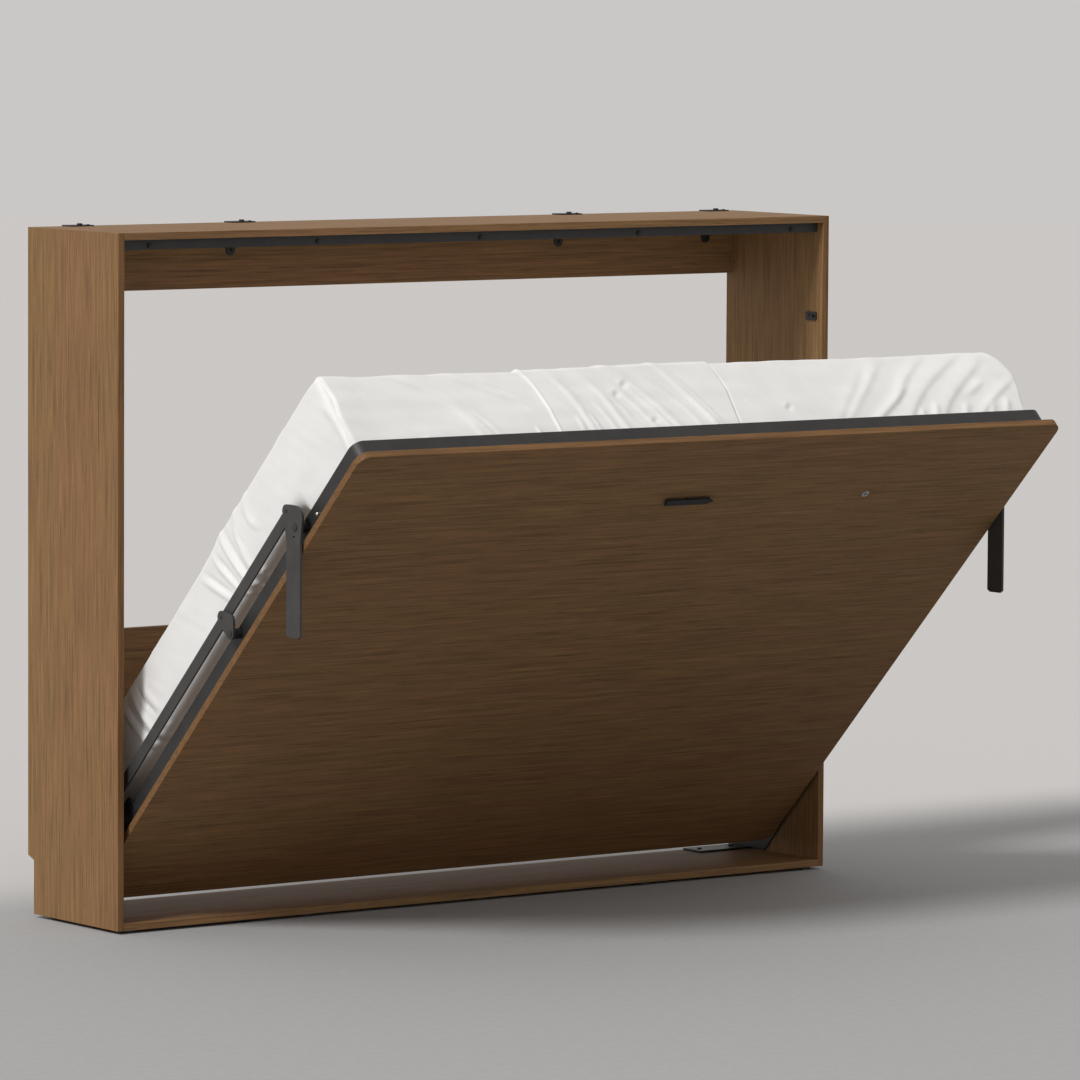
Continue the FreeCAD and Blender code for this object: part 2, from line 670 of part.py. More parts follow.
# tabs welded inside the frame, screwed to the front panel
tab_spots = []
for x in (-800.0, -400.0, 0.0, 400.0, 800.0):
    tab_spots.append((x, low_in + 20))
    tab_spots.append((x, high_in - 20))
for v in (100.0, 540.0, 1020.0):
    tab_spots.append((in_rail - 20, v))
    tab_spots.append((-in_rail + 20, v))
tabs = []
tab_screws = []
for x, v in tab_spots:
    tab = bed_box(x - 20, x + 20, v - 20, v + 20, RAIL_W0, RAIL_W0 + 3)
    tabs.append(opened(tab.cut(bed_rod_w(RAIL_W0 - 1, RAIL_W0 + 9, x, v, 2.3))))
    head = bed_rod_w(RAIL_W0 + 3, RAIL_W0 + 5.4, x, v, 4.5)
    shank = bed_rod_w(RAIL_W0 + 0.2, RAIL_W0 + 4, x, v, 2.2)
    tab_screws.append(opened(head.fuse(shank)))
save("frame_tabs", tabs)
save("frame_tab_screws", tab_screws)

# mattress
mattress = bed_box(
    -MATTRESS_L / 2,
    MATTRESS_L / 2,
    MATTRESS_V - MATTRESS_W / 2,
    MATTRESS_V + MATTRESS_W / 2,
    MATTRESS_W0,
    MATTRESS_W0 + MATTRESS_T,
)
mattress = mattress.makeFillet(MATTRESS_CORNER_R, edges_along(mattress, "y"))
rims = [e for e in mattress.Edges if e.BoundBox.YLength < 1e-6]
mattress = mattress.makeFillet(MATTRESS_EDGE_R, rims)
save("mattress", opened(mattress))


# hinge plates with their shafts, welded to the side rails
def hinge_plate(side):
    plate = bed_box(RAIL_X, RAIL_X + HINGE_PLATE_T, -75, 75, RAIL_W0 + 2, 20)
    plate = plate.makeFillet(10.0, edges_along(plate, "x"))
    return opened(mirrored(plate.cut(bed_rod_x(1050, 1080, 0, 0, SPIGOT_R)), side))


def pivot_shaft(side):
    face = RAIL_X + HINGE_PLATE_T
    body = bed_rod_x(face, IN_X - 0.4, 0, 0, SHAFT_R)
    spigot = bed_rod_x(RAIL_X + 0.1, face + 1, 0, 0, SPIGOT_R)
    return opened(mirrored(body.fuse(spigot), side))


# spacers that stand the legs and rockers off the side rails
def standoff(side, v):
    body = bed_rod_x(RAIL_X, LEG_X0 - 0.3, v, ARM_W, STANDOFF_R)
    pin = bed_rod_x(LEG_X0 - 1, LEG_X1 + 0.4, v, ARM_W, PIVOT_PIN_R)
    head = bed_rod_x(LEG_X1 + 0.3, LEG_X1 + 2.3, v, ARM_W, 9.0)
    rim = [e for e in head.Edges if e.Closed and e.BoundBox.XMin > LEG_X1 + 1]
    head = head.makeFillet(0.9, rim)
    return opened(mirrored(join([body, pin, head]), side))


save("hinge_plates", [hinge_plate(-1), hinge_plate(1)])
save("pivot_shafts", [pivot_shaft(-1), pivot_shaft(1)])
standoffs = []
for side_name, side_sign in SIDES:
    for arm_v in (LEG_V, ROCKER_V):
        standoffs.append(standoff(side_sign, arm_v))
save("arm_standoffs", standoffs)


# ----------------------------------------------------- legs, rockers and links
def arm_holes(solid, y, z):
    """Bore an arm for its pivot at (y, z) and for the link pin above it."""
    solid = solid.cut(rod_x(LEG_X0 - 5, LEG_X1 + 5, y, z, PIVOT_PIN_R + RUN_CLEAR))
    return solid.cut(rod_x(LEG_X0 - 5, LEG_X1 + 5, y + LINK_DY, z + LINK_DZ, LINK_PIN_R))


def leg(side):
    y, z = rested(LEG_V, ARM_W)
    front = y - LEG_FRONT
    back = y + LEG_BACK
    head = hull_x(
        (
            (y + LINK_DY, z + LINK_DZ, ARM_EYE_R),
            (y, z + 21.0, 31.0),
            (back - 6.0, z - 30.0, 6.0),
            (front + 6.0, z - 30.0, 6.0),
        ),
        LEG_X0,
        LEG_X1,
    )
    bar = box(LEG_X0, LEG_X1, front, back, z - LEG_DROP, z - 28.0)
    low = [e for e in edges_along(bar, "x") if e.BoundBox.ZMax < z - LEG_DROP + 1]
    bar = bar.makeFillet(5.0, low)
    return mirrored(arm_holes(join([head, bar]), y, z), side)


def leg_foot(side):
    y, z = rested(LEG_V, ARM_W)
    z1 = z - LEG_DROP
    z0 = z1 - LEG_FOOT_H
    pad = box(LEG_X0, LEG_X1, y - LEG_FRONT + 7, y + LEG_BACK - 7, z0, z1)
    low = [e for e in edges_along(pad, "x") if e.BoundBox.ZMax < z0 + 1]
    return mirrored(pad.makeFillet(2.0, low), side)


def rocker(side):
    y, z = rested(ROCKER_V, ARM_W)
    solid = hull_x(
        (
            (y + LINK_DY, z + LINK_DZ, ARM_EYE_R),
            (y + 4.0, z + 30.0, 19.0),
            (y, z, 15.0),
        ),
        LEG_X0,
        LEG_X1,
    )
    return mirrored(arm_holes(solid, y, z), side)


def link_pin(side, v):
    y, z = rested(v, ARM_W)
    y += LINK_DY
    z += LINK_DZ
    core = rod_x(LINK_X0 - 0.6, LEG_X1 + 0.7, y, z, LINK_PIN_R)
    spacer = rod_x(LINK_X1 + 0.4, LEG_X0, y, z, 9.0)
    head = rod_x(LINK_X0 - 2.8, LINK_X0 - 0.5, y, z, 8.5)
    return mirrored(join([core, spacer, head]), side)


def link_bar(side):
    """Bar parallel to the side rail, drawn upright about its fixed pivot."""
    bar_y = LINK_Y + ARM_W
    bar = hull_x(
        (
            (bar_y, LINK_Z + 60.0, LINK_BAR_W / 2),
            (bar_y, LINK_Z + LEG_V, LINK_BAR_W / 2),
        ),
        LINK_X0,
        LINK_X1,
    )
    lobe = hull_x(
        (
            (LINK_Y, LINK_Z, LINK_LOBE_R),
            (bar_y, LINK_Z + 60.0, LINK_BAR_W / 2),
        ),
        LINK_X0,
        LINK_X1,
    )
    bar = join([bar, lobe])
    bar = bar.cut(rod_x(LINK_X0 - 5, LINK_X1 + 5, LINK_Y, LINK_Z, PIVOT_PIN_R + RUN_CLEAR))
    for v in (ROCKER_V, LEG_V):
        hole_r = LINK_PIN_R + LOOSE_CLEAR
        bar = bar.cut(rod_x(LINK_X0 - 5, LINK_X1 + 5, bar_y, LINK_Z + v, hole_r))
    bar.rotate(V(0, LINK_Y, LINK_Z), V(1, 0, 0), OPEN_ANGLE)
    return mirrored(bar, side)


for side_name, side_sign in SIDES:
    save(side_name + "_leg", leg(side_sign))
    save(side_name + "_leg_foot", leg_foot(side_sign))
    save(side_name + "_leg_link_pin", link_pin(side_sign, LEG_V))
    save(side_name + "_rocker", rocker(side_sign))
    save(side_name + "_rocker_link_pin", link_pin(side_sign, ROCKER_V))
    save(side_name + "_link_bar", link_bar(side_sign))

# --------------------------------------------------------------------- latch
TOOTH_M = 2 * GEAR_R / GEAR_TEETH
TOOTH_PITCH = math.pi * TOOTH_M
TOOTH_PRESSURE = math.radians(28.0)
TOOTH_ADD = 0.75 * TOOTH_M
TOOTH_DED = 1.05 * TOOTH_M
TOOTH_PLAY = 0.30
RACK_BACK = 7.0


def gear_outline(cx, cz):
    """Involute pinion in the X-Z plane, with a tooth space straight down."""
    base_r = GEAR_R * math.cos(TOOTH_PRESSURE)
    tip_r = GEAR_R + TOOTH_ADD
    root_r = GEAR_R - TOOTH_DED
    inv_pitch = math.tan(TOOTH_PRESSURE) - TOOTH_PRESSURE
    half_pitch = (TOOTH_PITCH / 2 - TOOTH_PLAY) / (2 * GEAR_R)
    flank = []
    for k in range(7):
        r = base_r + (tip_r - base_r) * k / 6
        roll = math.acos(min(1.0, base_r / r))
        flank.append((r, half_pitch + inv_pitch - (math.tan(roll) - roll)))
    flank.insert(0, (root_r, flank[0][1]))
    points = []
    for tooth in range(GEAR_TEETH):
        mid = -math.pi / 2 + 2 * math.pi * (tooth + 0.5) / GEAR_TEETH
        for r, half in flank:
            points.append((cx + r * math.cos(mid - half), cz + r * math.sin(mid - half)))
        for r, half in reversed(flank):
            points.append((cx + r * math.cos(mid + half), cz + r * math.sin(mid + half)))
    return points


def rack(x0, x1, v, up):
    """Rack with its pitch line at v; its teeth point up (+1) or down (-1)."""
    cz = PIVOT_Z + v
    root = cz - up * TOOTH_DED
    tip = cz + up * TOOTH_ADD
    back = root - up * RACK_BACK
    slope = math.tan(TOOTH_PRESSURE)
    half = (TOOTH_PITCH / 2 - TOOTH_PLAY) / 2
    first = math.ceil((x0 + TOOTH_PITCH / 2) / TOOTH_PITCH)
    last = math.floor((x1 - TOOTH_PITCH / 2) / TOOTH_PITCH)
    points = [(x0, back), (x0, root)]
    for k in range(first, last + 1):
        x = k * TOOTH_PITCH
        points.append((x - half - slope * TOOTH_DED, root))
        points.append((x - half + slope * TOOTH_ADD, tip))
        points.append((x + half - slope * TOOTH_ADD, tip))
        points.append((x + half + slope * TOOTH_DED, root))
    points.append((x1, root))
    points.append((x1, back))
    return plate_y(points, PIVOT_Y + GEAR_W0, PIVOT_Y + GEAR_W1)


def round_tip(solid, side):
    """Chamfer the bolt's outer end."""
    ends = []
    for e in solid.Edges:
        flat = e.BoundBox.XLength < 1e-6
        if flat and abs(e.BoundBox.Center.x - side * BOLT_TIP_X) < 0.01:
            ends.append(e)
    return solid.makeChamfer(1.2, ends)


# the left rod is driven from above the pinion and cranks down to the bolt line
upper_v = HANDLE_V + GEAR_R
upper_rod_v = upper_v + TOOTH_DED + RACK_BACK / 2
crank_x = -712.0
left_rod = join(
    [
        rack(-60.0, 45.0, upper_v, -1),
        bed_rod_x(crank_x - 6, -59.0, upper_rod_v, BOLT_W, 3.4),
        bed_box(crank_x - 14, crank_x, BOLT_V - 5, upper_rod_v + 5, GEAR_W0, GEAR_W1),
        bed_rod_x(-BOLT_TIP_X, crank_x - 12, BOLT_V, BOLT_W, BOLT_R),
    ]
)
save("left_latch_rod", opened(round_tip(left_rod, -1)))

# the right rod runs straight, and carries the peg that the lock's cam catches
right_rod = join(
    [
        rack(-45.0, 60.0, HANDLE_V - GEAR_R, 1),
        bed_rod_x(59.0, BOLT_TIP_X, BOLT_V, BOLT_W, BOLT_R),
        bed_box(LOCK_PEG_X - 3, LOCK_PEG_X + 3, LOCK_V - 14.5, LOCK_V - 7, -39.0, BOLT_W),
    ]
)
save("right_latch_rod", opened(round_tip(right_rod, 1)))

pinion_outline = gear_outline(0, PIVOT_Z + HANDLE_V)
pinion = plate_y(pinion_outline, PIVOT_Y + GEAR_W0, PIVOT_Y + GEAR_W1)
pinion = pinion.cut(bed_rod_w(-60, 0, 0, HANDLE_V, SPINDLE_R + 0.05))
save("handle_pinion", opened(pinion))

# turning handle: bar with a thumb spur, on a spindle through the panel
half_l = HANDLE_L / 2
half_h = HANDLE_H / 2
grip = bed_box(-half_l, half_l, HANDLE_V - half_h, HANDLE_V + half_h, PANEL_W0 - 12, PANEL_W0 - 4)
grip = grip.makeFillet(2.0, grip.Edges)
spur_v0 = HANDLE_V - half_h + 1.5
spur_x0 = half_l - 6
spur = bed_box(spur_x0, half_l + SPUR_L, spur_v0, spur_v0 + 5, PANEL_W0 - 11, PANEL_W0 - 6)
spur = spur.makeFillet(1.5, spur.Edges)
spur_turn = FreeCAD.Vector(spur_x0, PIVOT_Y + PANEL_W0, PIVOT_Z + spur_v0)
spur.rotate(spur_turn, FreeCAD.Vector(0, 1, 0), -14)
spindle = bed_rod_w(PANEL_W0 - 6, -21.5, 0, HANDLE_V, SPINDLE_R)
save("turn_handle", opened(join([grip, spur, spindle])))

# gearbox plates and the guides of the latch rods
box_v0 = HANDLE_V - 42
box_v1 = HANDLE_V + 42
gearbox_parts = [
    bed_box(-60, 60, box_v0, box_v1, RAIL_W0, RAIL_W0 + 3),
    bed_box(-60, 60, box_v0, box_v1, -24.5, -22.0),
]
for x in (-52.0, 52.0):
    for v in (box_v0 + 7, box_v1 - 7):
        gearbox_parts.append(bed_rod_w(RAIL_W0 + 2, -23.0, x, v, 5.0))
gearbox = join(gearbox_parts)
gearbox = gearbox.cut(bed_rod_w(-60, 0, 0, HANDLE_V, SPINDLE_R + RUN_CLEAR))
save("latch_gearbox", opened(gearbox))

GUIDE_SPOTS = (
    (-1000.0, BOLT_V, BOLT_R),
    (-400.0, upper_rod_v, 3.4),
    (400.0, BOLT_V, BOLT_R),
    (1000.0, BOLT_V, BOLT_R),
)
guides = []
for x, v, r in GUIDE_SPOTS:
    block = bed_box(x - 12, x + 12, v - 11, v + 11, RAIL_W0, BOLT_W + 9)
    guides.append(opened(block.cut(bed_rod_x(x - 20, x + 20, v, BOLT_W, r + RUN_CLEAR))))
save("latch_rod_guides", guides)

# key lock: fixed barrel, and a plug whose cam stops the right latch rod
barrel = bed_rod_w(PANEL_W0 - 1, -41.5, LOCK_X, LOCK_V, LOCK_R - 0.1)
barrel = barrel.fuse(bed_rod_w(PANEL_W0 - 2.2, PANEL_W0, LOCK_X, LOCK_V, LOCK_R + 0.5))
plug_r = 5.9
barrel = barrel.cut(bed_rod_w(-90, 0, LOCK_X, LOCK_V, plug_r + RUN_CLEAR))
save("lock_barrel", opened(barrel))

plug = bed_rod_w(PANEL_W0 - 2.8, -41.2, LOCK_X, LOCK_V, plug_r)
keyway = bed_box(LOCK_X - 4.2, LOCK_X + 4.2, LOCK_V - 0.8, LOCK_V + 0.8, PANEL_W0 - 4, PANEL_W0 + 9)
keyway.rotate(V(LOCK_X, PIVOT_Y, PIVOT_Z + LOCK_V), V(0, 1, 0), -45)
plug = plug.cut(keyway)
cam_hub = bed_rod_w(-41.3, -35.8, LOCK_X, LOCK_V, 5.9)
cam_arm = bed_box(LOCK_X - 7.5, LOCK_X, LOCK_V - 3.5, LOCK_V + 3.5, -40.2, -35.8)
cam_end = bed_rod_w(-40.2, -35.8, LOCK_X - 7.5, LOCK_V, 3.5)
save("lock_plug", opened(join([plug, cam_hub, cam_arm, cam_end])))
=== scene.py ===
import json
import math
from collections import namedtuple

import bmesh
import bpy
import numpy as np
from mathutils import Matrix, Vector


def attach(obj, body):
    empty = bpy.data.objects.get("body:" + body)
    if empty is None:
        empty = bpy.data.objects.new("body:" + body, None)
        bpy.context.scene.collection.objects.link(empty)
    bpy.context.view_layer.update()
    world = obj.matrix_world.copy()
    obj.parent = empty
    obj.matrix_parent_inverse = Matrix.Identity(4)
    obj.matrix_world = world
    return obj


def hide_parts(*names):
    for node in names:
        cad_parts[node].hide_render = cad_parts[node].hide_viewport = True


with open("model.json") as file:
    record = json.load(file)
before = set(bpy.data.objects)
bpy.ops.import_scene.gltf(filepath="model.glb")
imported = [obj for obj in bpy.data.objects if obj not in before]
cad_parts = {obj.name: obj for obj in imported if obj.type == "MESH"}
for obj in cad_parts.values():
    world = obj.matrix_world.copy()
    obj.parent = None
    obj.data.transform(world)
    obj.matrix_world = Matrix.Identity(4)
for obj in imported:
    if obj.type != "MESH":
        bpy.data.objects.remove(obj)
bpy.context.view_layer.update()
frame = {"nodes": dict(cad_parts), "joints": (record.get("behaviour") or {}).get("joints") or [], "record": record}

# -------------------------------------------------------------- bed's own axes
# At rest, v runs up the panel and w from the panel to the sleeping face. Both
# start at the bed's pivot.
TILT = next(j for j in frame["joints"] if j["name"] == "bed_tilt")
PIVOT = Vector(TILT["pos_m"])
OPEN = math.radians(-TILT["range_deg"][0])
V_AXIS = Vector((0, -math.sin(OPEN), math.cos(OPEN)))
W_AXIS = Vector((0, math.cos(OPEN), math.sin(OPEN)))


def bed_span(node):
    """Lowest and highest (x, v, w) of a CAD node at rest."""
    co = np.array([v.co for v in frame["nodes"][node].data.vertices], float)
    rel = co - np.array(PIVOT)
    local = np.c_[co[:, 0], rel @ np.array(V_AXIS), rel @ np.array(W_AXIS)]
    return local.min(0), local.max(0)


PANEL_LO, PANEL_HI = bed_span("front_panel")
MATT_LO, MATT_HI = bed_span("mattress")


# ------------------------------------------------------------------- materials
class Shader:
    """A principled material, and short ways to add nodes to it."""

    def __init__(self, name):
        self.mat = bpy.data.materials.new(name)
        self.mat.use_nodes = True
        self.tree = self.mat.node_tree
        self.bsdf = self.tree.nodes["Principled BSDF"]

    def add(self, kind, **sockets):
        node = self.tree.nodes.new(kind)
        for key, value in sockets.items():
            self.set(node.inputs[key], value)
        return node

    def set(self, socket, value):
        if isinstance(value, bpy.types.NodeSocket):
            self.tree.links.new(value, socket)
        else:
            socket.default_value = value

    def math(self, op, a, b=0.0):
        node = self.tree.nodes.new("ShaderNodeMath")
        node.operation = op
        self.set(node.inputs[0], a)
        self.set(node.inputs[1], b)
        return node.outputs[0]

    def coords(self, scale=(1, 1, 1), shift=(0, 0, 0), turn=(0, 0, 0)):
        """Object coordinates, which are the frame's own at rest, turned then rescaled."""
        place = self.tree.nodes.new("ShaderNodeTexCoord").outputs["Object"]
        node = self.tree.nodes.new("ShaderNodeMapping")
        node.vector_type = "POINT"
        turned = self.tree.nodes.new("ShaderNodeMapping")
        turned.inputs["Rotation"].default_value = turn
        self.tree.links.new(place, turned.inputs["Vector"])
        self.tree.links.new(turned.outputs[0], node.inputs["Vector"])
        node.inputs["Scale"].default_value = scale
        node.inputs["Location"].default_value = shift
        return node.outputs[0]

    def noise(self, vector, scale=1.0, detail=3.0, rough=0.5, distortion=0.0):
        node = self.add("ShaderNodeTexNoise", Vector=vector, Scale=scale)
        node.inputs["Detail"].default_value = detail
        node.inputs["Roughness"].default_value = rough
        node.inputs["Distortion"].default_value = distortion
        return node.outputs["Fac"]

    def ramp(self, fac, stops):
        node = self.tree.nodes.new("ShaderNodeValToRGB")
        self.set(node.inputs[0], fac)
        ends = node.color_ramp.elements
        while len(ends) < len(stops):
            ends.new(0.5)
        for end, (place, colour) in zip(ends, stops):
            end.position = place
            end.color = (*colour, 1.0)
        return node.outputs["Color"]

    def mix(self, fac, a, b, blend="MIX"):
        node = self.tree.nodes.new("ShaderNodeMix")
        node.data_type = "RGBA"
        node.blend_type = blend
        self.set(node.inputs[0], fac)
        for socket, value in ((node.inputs[6], a), (node.inputs[7], b)):
            self.set(socket, value if isinstance(value, bpy.types.NodeSocket) else (*value, 1.0))
        return node.outputs[2]

    def span(self, fac, low, high):
        """fac, from 0 to 1, stretched to the range low to high."""
        node = self.add("ShaderNodeMapRange", Value=fac)
        node.inputs["To Min"].default_value = low
        node.inputs["To Max"].default_value = high
        return node.outputs[0]

    def bump(self, height, strength, distance):
        node = self.add("ShaderNodeBump", Height=height)
        node.inputs["Strength"].default_value = strength
        node.inputs["Distance"].default_value = distance
        self.tree.links.new(node.outputs[0], self.bsdf.inputs["Normal"])


WALNUT_RED = (0.234, 0.132, 0.067)
WALNUT_TAN = (0.228, 0.139, 0.065)
EDGE_BAND = (0.200, 0.110, 0.050)


def walnut(name, along, turn=(0, 0, 0), seed=0.0, tone=1.0, edge=None, dash=(9.0, 360.0)):
    """Walnut veneer whose grain runs along X (0) or Z (2), after turn.

    tone scales its brightness: up for the paler dowel and slat woods, and down
    to 0.90 on the front panel as painted shade. edge gives the mask of its edge
    banding, and dash is the rate of its short dark marks along and across the grain.
    """
    s = Shader(name)

    def grey(v):
        """Slightly warm grey."""
        return v, v * 0.985, v * 0.96

    def stretched(long, cross):
        """Coordinates that change at these rates along and across the grain."""
        scale = [cross, cross, cross]
        scale[along] = long
        return s.coords(scale, (seed, seed * 1.7, seed * 0.6), turn)

    bands = s.noise(stretched(0.45, 13.0), detail=2.0, rough=0.5, distortion=0.4)
    streaks = s.noise(stretched(4.0, 170.0), detail=3.0, rough=0.6, distortion=0.15)
    fibres = s.noise(stretched(12.0, 800.0), detail=3.0, rough=0.65)
    dashes = s.noise(stretched(*dash), detail=2.0, rough=0.5, distortion=0.35)
    pores = s.noise(stretched(60.0, 2200.0), detail=1.0, rough=0.5)
    red = tuple(tone * c for c in WALNUT_RED)
    tan = tuple(tone * c for c in WALNUT_TAN)
    colour = s.ramp(bands, ((0.36, red), (0.62, tan)))
    if edge:
        colour = s.mix(edge(s), colour, tuple(tone * c for c in EDGE_BAND))
    layers = (
        (streaks, ((0.28, grey(0.66)), (0.50, grey(1.0)), (0.70, grey(1.24)))),
        (fibres, ((0.30, grey(0.82)), (0.70, grey(1.16)))),
        (dashes, ((0.30, grey(0.68)), (0.43, grey(1.0)))),
        (pores, ((0.34, grey(0.80)), (0.44, grey(1.0)))),
    )
    for fac, stops in layers:
        colour = s.mix(1.0, colour, s.ramp(fac, stops), "MULTIPLY")
    s.set(s.bsdf.inputs["Base Color"], colour)
    s.set(s.bsdf.inputs["Roughness"], s.span(fibres, 0.46, 0.68))
    s.bsdf.inputs["Specular IOR Level"].default_value = 0.14
    height = s.math("ADD", fibres, s.math("MULTIPLY", dashes, 0.6))
    s.bump(s.math("ADD", height, s.math("MULTIPLY", pores, 0.5)), 0.22, 0.0003)
    return s.mat


def powder_coat(name, colour, rough, grain=900.0):
    """Baked paint over steel: fine orange peel, with slight scuffs."""
    s = Shader(name)
    peel = s.noise(s.coords(), grain, detail=2.0, rough=0.5)
    scuff = s.noise(s.coords(shift=(3, 1, 2)), 14.0, detail=5.0, rough=0.65)
    dull = tuple(c * 0.86 for c in colour)
    worn = tuple(min(1.0, c * 1.16 + 0.004) for c in colour)
    s.set(s.bsdf.inputs["Base Color"], s.ramp(scuff, ((0.36, dull), (0.66, worn))))
    s.set(s.bsdf.inputs["Roughness"], s.span(scuff, rough - 0.07, rough + 0.10))
    s.bump(peel, 0.22, 0.0002)
    return s.mat


def bright_metal(name, colour, rough=0.3):
    """Plated steel, brushed along X and lightly stained."""
    s = Shader(name)
    brush = s.noise(s.coords((30, 900, 900)), detail=2.0, rough=0.6)
    stain = s.noise(s.coords(), 60.0, detail=4.0, rough=0.6)
    dull = tuple(c * 0.72 for c in colour)
    s.set(s.bsdf.inputs["Base Color"], s.ramp(stain, ((0.30, dull), (0.60, colour))))
    s.set(s.bsdf.inputs["Roughness"], s.span(brush, rough - 0.08, rough + 0.16))
    s.bsdf.inputs["Metallic"].default_value = 1.0
    s.bump(brush, 0.15, 0.0001)
    return s.mat


def moulded(name, colour, rough=0.6):
    """Rubber or moulded plastic with a fine spark-eroded grain."""
    s = Shader(name)
    grain = s.noise(s.coords(), 1600.0, detail=2.0, rough=0.6)
    patch = s.noise(s.coords(), 90.0, detail=3.0, rough=0.6)
    pale = tuple(c * 1.25 + 0.01 for c in colour)
    s.set(s.bsdf.inputs["Base Color"], s.ramp(patch, ((0.35, colour), (0.7, pale))))
    s.set(s.bsdf.inputs["Roughness"], s.span(patch, rough - 0.08, rough + 0.08))
    s.bump(grain, 0.3, 0.0002)
    return s.mat


def woven(name, colour, shade, thread=0.0007, sheen=0.25):
    """Plain weave cotton: two crossed sets of threads, with slubs."""
    s = Shader(name)
    pitch = 2 * math.pi / thread
    flat = s.coords(turn=(-OPEN, 0, 0))
    split = s.add("ShaderNodeSeparateXYZ", Vector=flat)
    warp = s.math("SINE", s.math("MULTIPLY", split.outputs["X"], pitch))
    rise = s.math("ADD", split.outputs["Y"], split.outputs["Z"])
    weft = s.math("SINE", s.math("MULTIPLY", rise, pitch))
    weave = s.math("MULTIPLY", warp, weft)
    slub = s.noise(s.coords(), 9.0, detail=6.0, rough=0.6)
    s.set(s.bsdf.inputs["Base Color"], s.ramp(slub, ((0.25, shade), (0.65, colour))))
    s.set(s.bsdf.inputs["Roughness"], s.span(slub, 0.78, 0.92))
    s.bsdf.inputs["Sheen Weight"].default_value = sheen
    s.bsdf.inputs["Sheen Roughness"].default_value = 0.45
    s.bsdf.inputs["Specular IOR Level"].default_value = 0.25
    s.bump(weave, 0.18, 0.00012)
    return s.mat


PANEL_EDGE_R = 0.031  # radius of the panel's corners
PANEL_SKIN = 0.0012  # depth from its outline that counts as edge
EDGE_FACING = 0.75  # least Y of the normal on a board's front or back edge


def panel_edge(s):
    """1 on the front panel's edges and 0 on its faces, from its outline."""
    place = s.coords()
    split = s.add("ShaderNodeSeparateXYZ", Vector=place)
    dy = s.math("SUBTRACT", split.outputs["Y"], PIVOT.y)
    dz = s.math("SUBTRACT", split.outputs["Z"], PIVOT.z)
    v = s.math(
        "ADD", s.math("MULTIPLY", dy, V_AXIS.y), s.math("MULTIPLY", dz, V_AXIS.z)
    )
    mid = (PANEL_LO[1] + PANEL_HI[1]) / 2
    half_v = (PANEL_HI[1] - PANEL_LO[1]) / 2 - PANEL_EDGE_R
    half_x = PANEL_HI[0] - PANEL_EDGE_R
    qx = s.math("SUBTRACT", s.math("ABSOLUTE", split.outputs["X"]), half_x)
    qv = s.math("SUBTRACT", s.math("ABSOLUTE", s.math("SUBTRACT", v, mid)), half_v)
    ox = s.math("MAXIMUM", qx, 0.0)
    ov = s.math("MAXIMUM", qv, 0.0)
    away = s.math("SQRT", s.math("ADD", s.math("MULTIPLY", ox, ox), s.math("MULTIPLY", ov, ov)))
    away = s.math("ADD", away, s.math("MINIMUM", s.math("MAXIMUM", qx, qv), 0.0))
    return s.math("GREATER_THAN", away, PANEL_EDGE_R - PANEL_SKIN)


def board_edge(s):
    """1 on the banded front and back edges of the cabinet's boards."""
    place = s.tree.nodes.new("ShaderNodeTexCoord")
    split = s.add("ShaderNodeSeparateXYZ", Vector=place.outputs["Normal"])
    return s.math("GREATER_THAN", s.math("ABSOLUTE", split.outputs["Y"]), EDGE_FACING)


STEEL = (0.017, 0.0165, 0.0165)
SILVER = (0.62, 0.62, 0.61)
ALONG_X, ALONG_Z = 0, 2
BED_TURN = (-OPEN, 0, 0)
LONG_DASH = (6.0, 300.0)
MATERIALS = {
    "walnut_side": walnut("walnut_side", ALONG_Z, seed=2.0, edge=board_edge, dash=LONG_DASH),
    "walnut_board": walnut("walnut_board", ALONG_X, seed=5.0, dash=LONG_DASH),
    # front panel: the same walnut painted 10% darker, as painted shade for a panel facing down, away from the key
    # light
    "walnut_front": walnut("walnut_front", ALONG_X, BED_TURN, 9.0, 0.90, panel_edge),
    "dowel_wood": walnut("dowel_wood", ALONG_X, seed=1.0, tone=1.9),
    "slat_wood": walnut("slat_wood", ALONG_Z, BED_TURN, 4.0, 2.4),
    "frame_steel": powder_coat("frame_steel", STEEL, 0.5),
    "arm_steel": powder_coat("arm_steel", (0.034, 0.033, 0.0325), 0.52),
    "black_steel": powder_coat("black_steel", (0.006, 0.006, 0.006), 0.45),
    "bright_steel": bright_metal("bright_steel", SILVER),
    "spring_steel": bright_metal("spring_steel", (0.30, 0.30, 0.31), 0.4),
    "handle_steel": powder_coat("handle_steel", (0.003, 0.003, 0.003), 0.55),
    "bush_brass": bright_metal("bush_brass", (0.55, 0.40, 0.16)),
    "buffer_rubber": moulded("buffer_rubber", (0.010, 0.010, 0.010), 0.7),
    "glide_plastic": moulded("glide_plastic", (0.018, 0.018, 0.018)),
    "mattress_fabric": woven("mattress_fabric", (0.80, 0.79, 0.76), (0.72, 0.71, 0.68)),
}
for part in frame["record"]["subparts"]:
    mesh = frame["nodes"][part["node"]].data
    mesh.materials.clear()
    mesh.materials.append(MATERIALS[part["material_slot"]])

# ----------------------------------------------------------- mattress and sheet
# A point of the sheet has raw coordinates (x, v, w) on a plain box. They are
# unrolled into two flat charts: the long one runs along x and up over the
# sleeping face, and the short one runs along v and up over its left edge.
SHEET_OUT = 0.0055  # the sheet's stand-off from the mattress's sides
SHEET_OUT_LOW = 0.002  # and from its lower long side
SHEET_OVER = 0.006  # and from its sleeping face
HALF_X = MATT_HI[0] + SHEET_OUT
V_LOW = MATT_LO[1] - SHEET_OUT_LOW
V_TOP = MATT_HI[1] + SHEET_OUT
W_LOW = MATT_LO[2]
W_TOP = MATT_HI[2] + SHEET_OVER
MID_V = (V_LOW + V_TOP) / 2
HALF_V = (V_TOP - V_LOW) / 2


